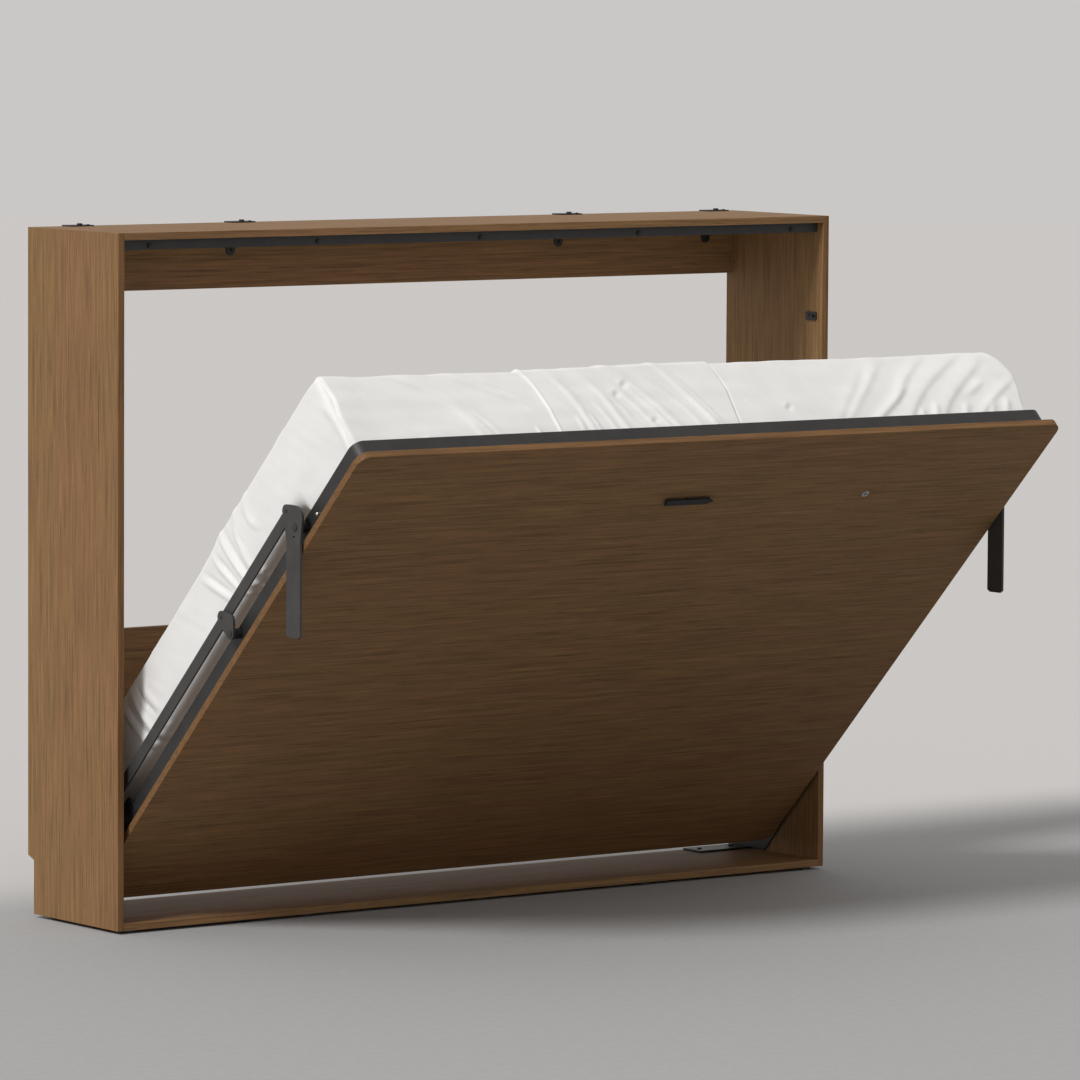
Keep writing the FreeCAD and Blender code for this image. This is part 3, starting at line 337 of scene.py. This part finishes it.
def spaced(low, high, step, fine=(), fine_step=0.0025):
    """Places from low to high, closer together inside the fine spans."""
    marks = [low]
    while marks[-1] < high - 1e-6:
        near = any(a <= marks[-1] < b for a, b in fine)
        marks.append(marks[-1] + (fine_step if near else step))
    marks = np.array(marks)
    return low + (marks - low) * (high - low) / (marks[-1] - low)


def rounded_cover(xs, vs, ws, corner_r, edge_r):
    """Grid over the sides and sleeping face of a rounded box, open below.

    Gives the points, the faces, the outward normals and the raw box points,
    all in (x, v, w).
    """
    keys = {}
    raw = []
    faces = []

    def index(point):
        key = tuple(round(c, 5) for c in point)
        if key not in keys:
            keys[key] = len(raw)
            raw.append(point)
        return keys[key]

    def patch(rows, cols, at):
        ids = [[index(at(r, c)) for c in cols] for r in rows]
        for i in range(len(rows) - 1):
            for j in range(len(cols) - 1):
                faces.append((ids[i][j], ids[i][j + 1], ids[i + 1][j + 1], ids[i + 1][j]))

    patch(vs, xs, lambda v, x: (x, v, ws[-1]))
    patch(ws, xs, lambda w, x: (x, vs[0], w))
    patch(ws, xs[::-1], lambda w, x: (x, vs[-1], w))
    patch(ws, vs, lambda w, v: (xs[-1], v, w))
    patch(ws, vs[::-1], lambda w, v: (xs[0], v, w))
    raw = np.array(raw)
    centre = np.array([(xs[0] + xs[-1]) / 2, (vs[0] + vs[-1]) / 2])
    half = np.array([(xs[-1] - xs[0]) / 2, (vs[-1] - vs[0]) / 2])
    inner = half - corner_r
    flat = raw[:, :2] - centre
    core = np.clip(flat, -inner, inner)
    gap = flat - core
    size = np.linalg.norm(gap, axis=1)
    aim = gap / np.maximum(size, 1e-9)[:, None]
    ring = np.abs(gap).max(1)
    across = np.clip(ring - (corner_r - edge_r), 0, None)
    above = np.clip(raw[:, 2] - (ws[-1] - edge_r), 0, None)
    length = np.maximum(np.hypot(across, above), 1e-9)
    both = (across > 0) & (above > 0)
    pull = np.where(both, np.maximum(across, above) / length, 1.0)
    reach = np.minimum(ring, corner_r - edge_r) + across * pull
    height = np.minimum(raw[:, 2], ws[-1] - edge_r) + above * pull
    points = np.c_[core + aim * reach[:, None] + centre, height]
    side = np.where(both, across / length, np.where(above > 0, 0.0, 1.0))
    lift = np.where(both, above / length, np.where(above > 0, 1.0, 0.0))
    return points, faces, np.c_[aim * side[:, None], lift], raw


WAVES = 20
WAVES_SCALE = 4.5  # brings the sum of the waves to about -1 to 1


def wavy(a, b, seed, pitch_a, pitch_b):
    """Smooth seeded unevenness, about -1 to 1, with its own pitch each way."""
    wave = np.random.default_rng(seed)
    total = np.zeros_like(a)
    for _ in range(WAVES):
        turn = wave.uniform(0, 2 * math.pi)
        size = wave.uniform(0.6, 1.8)
        phase = wave.uniform(0, 2 * math.pi)
        total += np.sin(
            2 * math.pi * size * (a * math.cos(turn) / pitch_a + b * math.sin(turn) / pitch_b)
            + phase
        )
    return total / WAVES_SCALE


def smooth(t):
    """0 below 0, 1 above 1, and eased between them."""
    t = np.clip(t, 0, 1)
    return t * t * (3 - 2 * t)


def rounded_line(points, rounds=3):
    """Corner-cut line through the points, ends kept."""
    line = np.array(points, float)
    for _ in range(rounds):
        a, b = line[:-1], line[1:]
        cut = np.empty((2 * len(a), 2))
        cut[0::2] = 0.75 * a + 0.25 * b
        cut[1::2] = 0.25 * a + 0.75 * b
        line = np.vstack((line[:1], cut, line[-1:]))
    return line


CREASE_REACH = 3.5  # widths past which a fold is flat
CREASE_TAPER = 0.4  # share of its length over which an end dies out


def crease(a, b, fold):
    """Height of a fold in a chart: a ridge, or a groove where it is negative."""
    line = rounded_line(fold.points)
    out = np.zeros_like(a)
    reach = CREASE_REACH * fold.width * (1 + abs(fold.skew))
    near = (
        (a > line[:, 0].min() - reach) & (a < line[:, 0].max() + reach)
        & (b > line[:, 1].min() - reach) & (b < line[:, 1].max() + reach)
    )
    if not near.any():
        return out
    pa, pb = a[near], b[near]
    best = np.full(len(pa), FAR_AWAY)
    where = np.zeros(len(pa))
    hand = np.zeros(len(pa))
    steps = np.hypot(*np.diff(line, axis=0).T)
    total = steps.sum()
    run = 0.0
    for (a0, b0), (a1, b1), step in zip(line[:-1], line[1:], steps):
        if step < 1e-9:
            continue
        ua, ub = (a1 - a0) / step, (b1 - b0) / step
        t = np.clip((pa - a0) * ua + (pb - b0) * ub, 0, step)
        da, db = pa - (a0 + t * ua), pb - (b0 + t * ub)
        dist = np.hypot(da, db)
        closer = dist < best
        best = np.where(closer, dist, best)
        where = np.where(closer, (run + t) / total, where)
        hand = np.where(closer, np.sign(ua * db - ub * da), hand)
        run += step
    taper = smooth(where / CREASE_TAPER)
    if not fold.to_rail:
        taper *= smooth((1 - where) / CREASE_TAPER)
    spread = fold.width * (1 + fold.skew * hand)
    out[near] = fold.height * taper * np.exp(-((best / spread) ** 2))
    return out


DIMPLE_TURN = 0.7
DIMPLE_LONG = 1.7  # length over width
DIMPLE_RIM = 1.6  # radii from the hollow to its rim


def dimple(a, b, at, radius, depth):
    """Small pinched hollow with a raised rim on one side."""
    da, db = a - at[0], b - at[1]
    c, s = math.cos(DIMPLE_TURN), math.sin(DIMPLE_TURN)
    u = (da * c + db * s) / (radius * DIMPLE_LONG)
    t = (-da * s + db * c) / radius
    rim = 0.5 * depth * np.exp(-(u * u + (t - DIMPLE_RIM) ** 2))
    return -depth * np.exp(-(u * u + t * t)) + rim


# A fold's half-width and height, how far it leans to one side, whether it runs
# on down to the rail, and the points of its crest in its chart.
Fold = namedtuple("Fold", "width height skew to_rail points")
FAR_AWAY = 9.0  # a chart distance beyond the whole sheet
LONG_FOLDS = (
    # soft folds left of the band
    Fold(0.017, 0.0042, 0.5, True,
         ((-0.90, 0.250), (-0.806, 0.231), (-0.721, 0.179), (-0.664, 0.119), (-0.638, 0.03))),
    Fold(0.011, 0.0028, 0.5, True, ((-0.76, 0.215), (-0.69, 0.165), (-0.62, 0.105), (-0.59, 0.03))),
    Fold(0.007, 0.0026, 0.4, True, ((-0.66, 0.120), (-0.635, 0.080), (-0.615, 0.03))),
    Fold(0.013, 0.0034, 0.5, False,
         ((-0.70, 0.245), (-0.616, 0.213), (-0.549, 0.171), (-0.484, 0.142), (-0.441, 0.092))),
    Fold(0.009, 0.0022, 0.4, False,
         ((-0.60, 0.235), (-0.53, 0.195), (-0.47, 0.165), (-0.43, 0.140))),
    # wrinkles in the band
    Fold(0.011, 0.0040, 0.4, True,
         ((-0.40, 0.260), (-0.345, 0.210), (-0.318, 0.130), (-0.306, 0.02))),
    Fold(0.0045, 0.0048, 0.0, True, ((-0.338, 0.090), (-0.340, 0.02))),
    Fold(0.0040, 0.0036, 0.0, True, ((-0.318, 0.115), (-0.312, 0.02))),
    Fold(0.0045, 0.0048, 0.0, True, ((-0.298, 0.105), (-0.290, 0.02))),
    Fold(0.010, 0.0046, 0.5, True,
         ((-0.32, 0.255), (-0.242, 0.186), (-0.222, 0.12), (-0.210, 0.02))),
    Fold(0.0055, 0.0036, 0.0, True, ((-0.268, 0.14), (-0.248, 0.080), (-0.240, 0.02))),
    Fold(0.010, 0.0050, 0.5, True,
         ((-0.26, 0.275), (-0.191, 0.243), (-0.105, 0.157), (-0.061, 0.058), (-0.050, 0.02))),
    Fold(0.006, 0.0026, 0.4, True,
         ((-0.215, 0.245), (-0.150, 0.185), (-0.095, 0.100), (-0.080, 0.03))),
    Fold(0.007, 0.0032, 0.4, True,
         ((-0.20, 0.200), (-0.155, 0.135), (-0.130, 0.07), (-0.120, 0.02))),
    Fold(0.006, 0.0026, 0.4, False, ((-0.23, 0.175), (-0.192, 0.12), (-0.172, 0.05))),
    Fold(0.008, 0.0030, 0.4, True,
         ((-0.15, 0.270), (-0.110, 0.225), (-0.040, 0.150), (0.004, 0.085), (0.018, 0.02))),
    Fold(0.009, 0.0056, 0.6, True,
         ((-0.09, 0.275), (-0.033, 0.236), (0.002, 0.175), (0.039, 0.102), (0.064, 0.02))),
    Fold(0.006, 0.0024, 0.4, True,
         ((-0.045, 0.250), (0.010, 0.195), (0.060, 0.110), (0.080, 0.03))),
    # right of the band, and the gathers of the right end
    Fold(0.014, -0.0034, 0.3, True, ((0.64, 0.235), (0.585, 0.160), (0.510, 0.085), (0.44, 0.01))),
    Fold(0.020, 0.0044, -0.5, True, ((0.70, 0.250), (0.625, 0.175), (0.550, 0.105), (0.470, 0.03))),
    Fold(0.011, 0.0058, -0.5, True, ((0.74, 0.165), (0.672, 0.098), (0.600, 0.052), (0.545, 0.01))),
    Fold(0.012, 0.0036, -0.4, False, ((0.83, 0.250), (0.75, 0.185), (0.690, 0.130), (0.62, 0.055))),
    Fold(0.018, 0.0046, -0.6, True,
         ((0.97, 0.262), (0.88, 0.217), (0.785, 0.148), (0.700, 0.065), (0.655, 0.01))),
    Fold(0.018, 0.0048, -0.6, True,
         ((1.00, 0.245), (0.93, 0.195), (0.858, 0.131), (0.800, 0.070), (0.760, 0.01))),
    Fold(0.010, 0.0038, -0.4, False, ((0.93, 0.150), (0.895, 0.115), (0.850, 0.085))),
    Fold(0.011, 0.0040, -0.5, True, ((1.03, 0.160), (0.960, 0.105), (0.905, 0.055), (0.87, 0.01))),
    Fold(0.009, 0.0042, 0.0, True, ((0.728, 0.070), (0.700, 0.01))),
    Fold(0.007, 0.0046, 0.0, True, ((0.772, 0.085), (0.742, 0.01))),
    Fold(0.008, 0.0042, 0.0, True, ((0.858, 0.080), (0.828, 0.01))),
    Fold(0.007, 0.0042, 0.0, True, ((0.930, 0.075), (0.905, 0.01))),
    Fold(0.008, 0.0044, 0.0, True, ((0.972, 0.090), (0.950, 0.01))),
    Fold(0.008, 0.0038, 0.0, True, ((-0.80, 0.050), (-0.80, 0.01))),
    Fold(0.006, 0.0038, 0.0, True, ((-0.475, 0.060), (-0.47, 0.01))),
    Fold(0.010, 0.0022, 0.0, True,
         ((-1.055, 0.225), (-1.040, 0.150), (-1.036, 0.070), (-1.042, 0.01))),
)
SHORT_FOLDS = (
    Fold(0.010, 0.0034, 0.3, False,
         ((0.960, 0.262), (0.911, 0.218), (0.904, 0.174), (0.945, 0.120))),
    Fold(0.009, 0.0056, 0.5, True,
         ((0.905, 0.275), (0.862, 0.235), (0.832, 0.179), (0.830, 0.101), (0.845, 0.02))),
    Fold(0.005, -0.0030, 0.0, False, ((0.870, 0.240), (0.845, 0.200), (0.850, 0.140))),
    Fold(0.0055, -0.0048, 0.0, True,
         ((0.820, 0.265), (0.806, 0.224), (0.806, 0.144), (0.812, 0.090), (0.82, 0.03))),
    Fold(0.008, 0.0070, 0.5, True,
         ((0.800, 0.285), (0.782, 0.234), (0.781, 0.172), (0.793, 0.098), (0.805, 0.02))),
    Fold(0.0055, -0.0050, 0.0, True,
         ((0.735, 0.245), (0.745, 0.190), (0.762, 0.115), (0.780, 0.04))),
    Fold(0.008, 0.0048, 0.5, True,
         ((0.735, 0.262), (0.722, 0.215), (0.738, 0.150), (0.760, 0.09), (0.778, 0.02))),
    Fold(0.0055, -0.0040, 0.0, False,
         ((0.665, 0.240), (0.680, 0.205), (0.708, 0.145), (0.740, 0.09))),
    Fold(0.008, 0.0044, 0.4, False,
         ((0.640, 0.245), (0.665, 0.190), (0.700, 0.125), (0.735, 0.06))),
    Fold(0.008, 0.0100, 0.0, True, ((0.870, 0.080), (0.846, 0.050), (0.838, 0.02))),
    Fold(0.008, 0.0095, 0.0, True, ((0.800, 0.085), (0.788, 0.052), (0.785, 0.02))),
    Fold(0.0045, -0.0062, 0.0, False,
         ((0.262, 0.245), (0.244, 0.205), (0.250, 0.160), (0.272, 0.100))),
    Fold(0.009, 0.0036, 0.4, False,
         ((0.292, 0.225), (0.268, 0.195), (0.272, 0.150), (0.298, 0.090))),
    Fold(0.010, 0.0074, 0.4, True, ((0.225, 0.262), (0.212, 0.200), (0.222, 0.120), (0.240, 0.02))),
    Fold(0.0055, -0.0040, 0.0, True,
         ((0.185, 0.245), (0.188, 0.170), (0.204, 0.100), (0.220, 0.04))),
    Fold(0.010, 0.0040, 0.4, True, ((0.160, 0.255), (0.162, 0.180), (0.182, 0.100), (0.196, 0.02))),
    Fold(0.008, 0.0080, 0.0, True, ((0.290, 0.080), (0.262, 0.045), (0.255, 0.02))),
)
DIMPLES = ((-0.146, 0.179), (-0.182, 0.151), (-0.112, 0.060), (0.316, 0.085))
DIMPLE_R = 0.0065
DIMPLE_DEPTH = 0.0045
# length of the long chart's b, over the sleeping face and down the far side
WRAP = 2 * HALF_V + 2 * W_TOP
# the long side laps over the short one at the left corner, along this edge
CORNER_LAP = (
    (-1.034, -0.02), (-1.028, 0.060), (-1.016, 0.120), (-1.006, 0.165),
    (-1.010, 0.215), (-1.021, 0.262),
)
# edges of the band of doubled cloth, from the rail up and over
BAND_LEFT = (
    (-0.413, -0.02), (-0.413, 0.049), (-0.409, 0.113), (-0.412, 0.178), (-0.427, 0.232),
    (-0.470, 0.290), (-0.500, 0.600), (-0.512, 1.200), (-0.500, 1.700), (-0.470, WRAP),
)
BAND_RIGHT = (
    (0.137, -0.02), (0.137, 0.048), (0.151, 0.119), (0.153, 0.185), (0.142, 0.229),
    (0.135, 0.290), (0.150, 0.600), (0.160, 1.200), (0.150, 1.700), (0.130, WRAP),
)


def edge_at(line, b):
    """Where the rounded line crosses each b of a chart."""
    line = rounded_line(line)
    return np.interp(b, line[:, 1], line[:, 0])


# heights of the cloth's unevenness, from broad to fine
SWELLS = 0.0022
RIPPLES = 0.0007
TENSION = 0.00022
FACE_RIPPLES = 0.0005
CALM_SIDE = 0.45  # the left side's share of it
CALM_FACE = 0.7  # the sleeping face's share
LAP_HEIGHT = 0.0032
LAP_RUN = 0.10
LAP_GROOVE = 0.0030
LAP_TOP = 0.262  # b at which the lap's edge ends
BAND_HEIGHT = 0.0026
HEM_HEIGHT = 0.0024
SEAM_DEPTH = 0.0030


def ridge(distance, width):
    """1 at no distance, dying away over the width."""
    return np.exp(-((distance / width) ** 2))


def sheet_shape(raw):
    """How far each point of the sheet stands out from the plain cover."""
    x, v, w = raw.T
    top = w > W_TOP - 1e-6
    on_long = np.abs(v - V_TOP) < 1e-6
    on_low = np.abs(v - V_LOW) < 1e-6
    on_left = np.abs(x + HALF_X) < 1e-6
    on_right = np.abs(x - HALF_X) < 1e-6
    # long chart
    a = np.where(on_left & ~on_long, -HALF_X - (V_TOP - v), x)
    a = np.where(on_right & ~on_long, HALF_X + (V_TOP - v), a)
    a = np.where(top, x, a)
    b = np.where(top, W_TOP + (V_TOP - v), w)
    b = np.where(on_low & ~top, W_TOP + 2 * HALF_V + (W_TOP - w), b)
    # short chart
    sa = np.where(on_long & ~on_left, V_TOP + (x + HALF_X), v)
    sa = np.where(top, v, sa)
    sb = np.where(top, W_TOP + (x + HALF_X), w)
    sb = np.where(on_right & ~top, FAR_AWAY, sb)
    sb = np.where(on_low & ~top & ~on_left, FAR_AWAY, sb)

    calm = np.where(on_left, CALM_SIDE, np.where(top, CALM_FACE, 1.0))
    out = SWELLS * calm * wavy(a, b, 11, 0.50, 0.36)
    out += RIPPLES * calm * wavy(a + 0.6 * b, b, 12, 0.16, 0.09)
    # fine tension lines, mostly where the cloth is pulled round the edges
    pulled = smooth(1 - np.abs(b - 0.12) / 0.22)
    out += TENSION * pulled * wavy(a + 0.5 * b, b, 13, 0.05, 0.28)
    out += FACE_RIPPLES * top * wavy(a * 0.8 + 0.3 * b, b, 14, 0.40, 0.16)
    for fold in LONG_FOLDS:
        out += crease(a, b, fold)
    for fold in SHORT_FOLDS:
        out += crease(sa, sb, fold)
    for at in DIMPLES:
        out += dimple(a, b, at, DIMPLE_R, DIMPLE_DEPTH)
    lap = a - edge_at(CORNER_LAP, np.minimum(b, LAP_TOP))
    lapped = (b < W_TOP + 0.01) * (lap > -0.05)
    out += LAP_HEIGHT * lapped * smooth(lap / 0.003 + 0.5) * (1 - smooth(lap / LAP_RUN))
    out -= LAP_GROOVE * lapped * ridge(lap + 0.004, 0.0040)
    # the band of doubled cloth, with a rolled hem on its left edge
    left = a - edge_at(BAND_LEFT, b)
    right = edge_at(BAND_RIGHT, b) - a
    band = smooth(left / 0.004 + 0.5) * smooth(right / 0.0045 + 0.5)
    out += band * (BAND_HEIGHT + BAND_HEIGHT * ridge(b - W_TOP, 0.04))
    out += HEM_HEIGHT * ridge(left - 0.002, 0.0034)
    out -= SEAM_DEPTH * ridge(right, 0.0028)
    return out


ROLL_W = 0.103  # w below which the short sides roll under
ROLL_R = 0.032
ROLL_END_V = 1.128  # v at which that dies out, above the leg
BAG_OUT = 0.026
BAG_BULGE = 0.030
BAG_LIFT = 0.010
LEFT_SWELL = 0.009
CROWN = 0.006


def slack(points, raw):
    """Slow shape of the stuffed mattress under the sheet."""
    x, v, w = raw.T
    place = points.copy()
    rise = np.clip((w - W_LOW) / (W_TOP - W_LOW), 0, 1)
    # right-hand end: the cloth bags out past the foam near the upper corner
    end = smooth((x - 0.70) / 0.33) * smooth((v - 0.98) / 0.32)
    bag = BAG_OUT + BAG_BULGE * np.sin(math.pi * rise**1.5)
    place[:, 0] += end * bag * np.sqrt(np.clip(1 - rise**12, 0, 1))
    place[:, 1] += BAG_LIFT * end * np.sin(math.pi * rise)
    # the short sides roll under the foam, above the frame's side rails
    ends = smooth((ROLL_END_V - v) / 0.06) * smooth((v - V_LOW - 0.02) / 0.06)
    ends = ends * (HALF_X - np.abs(x) < 1e-6)
    below = np.clip(ROLL_W - w, 0, None)
    angle = np.minimum(below / ROLL_R, math.pi / 2)
    run = np.clip(below - ROLL_R * math.pi / 2, 0, None)
    place[:, 0] -= np.sign(x) * ends * (ROLL_R * (1 - np.cos(angle)) + 0.9 * run)
    place[:, 2] += ends * (below - ROLL_R * np.sin(angle) - 0.43 * run)
    # upper part of the left edge stands a little higher
    left = smooth((-x - 0.80) / 0.18)
    swell = smooth((v - 0.70) / 0.09) * smooth((1.40 - v) / 0.12)
    place[:, 2] += LEFT_SWELL * left * swell * rise**2
    # crowned sleeping face
    crown = (1 - (x / HALF_X) ** 4) * (1 - ((v - MID_V) / HALF_V) ** 4)
    place[:, 2] += CROWN * crown * (rise > 0.999)
    return place


def as_object(name, points, faces, material, shade=True):
    """A new mesh object in the scene, smooth shaded unless told otherwise."""
    mesh = bpy.data.meshes.new(name)
    mesh.from_pydata([tuple(p) for p in points], [], [tuple(f) for f in faces])
    mesh.update()
    obj = bpy.data.objects.new(name, mesh)
    bpy.context.scene.collection.objects.link(obj)
    mesh.materials.append(material)
    if shade:
        mesh.shade_smooth()
    else:
        mesh.shade_flat()
    return obj


def to_world(points):
    """(x, v, w) of the bed's own axes to the frame's (x, y, z)."""
    p = np.asarray(points)
    turned = p[:, 1:2] * np.array(V_AXIS) + p[:, 2:3] * np.array(W_AXIS)
    return np.array(PIVOT) + p[:, :1] * np.array((1.0, 0, 0)) + turned


STEP = 0.006
FINE = STEP * 0.4
EDGE = 0.018  # width of the finer mesh along the sheet's edges
LAP_FINE = (-HALF_X, -HALF_X + 0.05)
HEM_FINE = (-0.53, -0.39)
SEAM_FINE = (0.125, 0.165)
END_FINE = (HALF_X - EDGE, HALF_X)
SHEET_CORNER_R = 0.016
SHEET_EDGE_R = 0.010
xs = spaced(-HALF_X, HALF_X, STEP, (LAP_FINE, HEM_FINE, SEAM_FINE, END_FINE), FINE)
vs = spaced(V_LOW, V_TOP, STEP, ((V_TOP - EDGE, V_TOP),), FINE)
ws = spaced(W_LOW, W_TOP, STEP * 0.8, ((W_TOP - EDGE, W_TOP),), FINE)
cover, cover_faces, cover_out, cover_raw = rounded_cover(
    xs, vs, ws, SHEET_CORNER_R, SHEET_EDGE_R
)
shaped = slack(cover, cover_raw) + cover_out * sheet_shape(cover_raw)[:, None]
SHEET_MAT = woven("sheet_cotton", (0.785, 0.78, 0.767), (0.738, 0.733, 0.72))
sheet_obj = as_object("fitted_sheet", to_world(shaped), cover_faces, SHEET_MAT)
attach(sheet_obj, "bed")

# the foam itself, a little inside the sheet
CORE_IN = 0.016
CORE_BASE = 0.006  # its underside above the sheet's hem
CORE_CORNER_R = 0.034
CORE_EDGE_R = 0.020
CORE_TUCK = 0.084  # share by which its ends draw in over the side rails
CORE_VOXEL = 0.018
CORE_PRESSURE = 2.0
CORE_CAP = 0.007
CLOTH_FRAMES = 20


def closed_below(obj):
    """Fill the open underside of a cover."""
    bm = bmesh.new()
    bm.from_mesh(obj.data)
    rim = [e for e in bm.edges if e.is_boundary]
    bmesh.ops.contextual_create(bm, geom=rim)
    bm.to_mesh(obj.data)
    bm.free()


def baked(obj):
    """The object's mesh as its modifiers leave it, with none left on."""
    graph = bpy.context.evaluated_depsgraph_get()
    mesh = bpy.data.meshes.new_from_object(obj.evaluated_get(graph))
    obj.modifiers.clear()
    obj.data = mesh


def swelled(obj, pressure, cap):
    """Remesh a pad and let cloth pressure crown it, by no more than the cap."""
    remesh = obj.modifiers.new("remesh", "REMESH")
    remesh.mode = "VOXEL"
    remesh.voxel_size = CORE_VOXEL
    baked(obj)
    before = np.array([v.co for v in obj.data.vertices])
    cloth = obj.modifiers.new("cloth", "CLOTH")
    cloth.settings.quality = 4
    cloth.settings.use_pressure = True
    cloth.settings.uniform_pressure_force = pressure
    cloth.settings.effector_weights.gravity = 0
    cloth.point_cache.frame_start = 1
    cloth.point_cache.frame_end = CLOTH_FRAMES
    for frame_number in range(1, CLOTH_FRAMES + 1):
        bpy.context.scene.frame_set(frame_number)
    baked(obj)
    after = np.array([v.co for v in obj.data.vertices])
    move = after - before
    size = np.maximum(np.linalg.norm(move, axis=1), 1e-9)
    capped = before + move * (cap * np.tanh(size / cap) / size)[:, None]
    obj.data.vertices.foreach_set("co", capped.ravel())
    obj.data.update()
    obj.data.shade_smooth()
    bpy.context.scene.frame_set(1)


core_xs = spaced(-HALF_X + CORE_IN, HALF_X - CORE_IN, 0.03)
core_vs = spaced(V_LOW + CORE_IN, V_TOP - CORE_IN, 0.03)
core_ws = spaced(W_LOW + CORE_BASE, W_TOP - CORE_IN, 0.015)
core_points, core_faces, _, core_raw = rounded_cover(
    core_xs, core_vs, core_ws, CORE_CORNER_R, CORE_EDGE_R
)
under = smooth((ROLL_W + 0.012 - core_raw[:, 2]) / 0.05)
core_points[:, 0] *= 1 - CORE_TUCK * under
core_obj = as_object(
    "mattress_core", to_world(core_points), core_faces, MATERIALS["mattress_fabric"]
)
closed_below(core_obj)
swelled(core_obj, CORE_PRESSURE, CORE_CAP)
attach(core_obj, "bed")
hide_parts("mattress")

# ---------------------------------------------------------------- floor, lights
FLOOR_HALF = 90.0
FLOOR_DARK = (0.340, 0.342, 0.345)
FLOOR_PALE = (0.370, 0.372, 0.375)
FLOOR_BACK = (0.530, 0.518, 0.508)
FLOOR_BACK_Y = 0.15  # the floor turns paler from here
FLOOR_BACK_RATE = 2.2
studio = Shader("studio_floor")
speck = studio.noise(studio.coords(), 40.0, detail=4.0, rough=0.6)
floor_near = studio.ramp(speck, ((0.3, FLOOR_DARK), (0.7, FLOOR_PALE)))
floor_place = studio.add("ShaderNodeSeparateXYZ", Vector=studio.coords())
past = studio.math("SUBTRACT", floor_place.outputs["Y"], FLOOR_BACK_Y)
far_share = studio.math("MULTIPLY", past, FLOOR_BACK_RATE)
far_share = studio.math("SMOOTH_MIN", studio.math("MAXIMUM", far_share, 0.0), 1.0)
studio.set(studio.bsdf.inputs["Base Color"], studio.mix(far_share, floor_near, FLOOR_BACK))
studio.bsdf.inputs["Roughness"].default_value = 0.85
floor_corners = [
    (sx * FLOOR_HALF, sy * FLOOR_HALF, 0) for sx, sy in ((-1, -1), (1, -1), (1, 1), (-1, 1))
]
floor = as_object("floor", floor_corners, [(0, 1, 2, 3)], studio.mat, shade=False)

SKY_COLOUR = (0.80, 0.779, 0.763, 1.0)
SKY_STRENGTH = 0.74
KEY_FROM = Vector((-0.72, -0.12, 0.68)).normalized()
KEY_ENERGY = 2.35
KEY_ANGLE = 16.0
KEY_COLOUR = (1.0, 0.995, 0.985)
world = bpy.data.worlds.new("studio")
bpy.context.scene.world = world
world.use_nodes = True
back = world.node_tree.nodes["Background"]
back.inputs["Color"].default_value = SKY_COLOUR
back.inputs["Strength"].default_value = SKY_STRENGTH

key_data = bpy.data.lights.new("key", "SUN")
key_data.energy = KEY_ENERGY
key_data.angle = math.radians(KEY_ANGLE)
key_data.color = KEY_COLOUR
key = bpy.data.objects.new("key", key_data)
key.rotation_euler = (-KEY_FROM).to_track_quat("-Z", "Y").to_euler()
bpy.context.scene.collection.objects.link(key)

# ----------------------------------------------------------------------- camera
CAMERA_PLACE = PIVOT + Vector((-10.5634, -14.6040, 2.1974))
CAMERA_RIGHT = Vector((0.80476, -0.59357, 0.00594)).normalized()
CAMERA_LOOK = Vector((0.59180, 0.80150, -0.08580)).normalized()
CAMERA_LENS = 237.54
CAMERA_SENSOR = 36.0
cam_up = CAMERA_RIGHT.cross(CAMERA_LOOK)
cam_data = bpy.data.cameras.new("camera")
cam_data.lens = CAMERA_LENS
cam_data.sensor_width = CAMERA_SENSOR
cam_data.clip_end = 60.0
camera = bpy.data.objects.new("camera", cam_data)
turn = Matrix((CAMERA_RIGHT, cam_up, -CAMERA_LOOK)).transposed()
camera.matrix_world = Matrix.Translation(CAMERA_PLACE) @ turn.to_4x4()
bpy.context.scene.collection.objects.link(camera)
bpy.context.scene.camera = camera
bpy.context.scene.view_settings.view_transform = "Standard"

# ------------------------------------------------------------------------- update
bpy.context.view_layer.update()
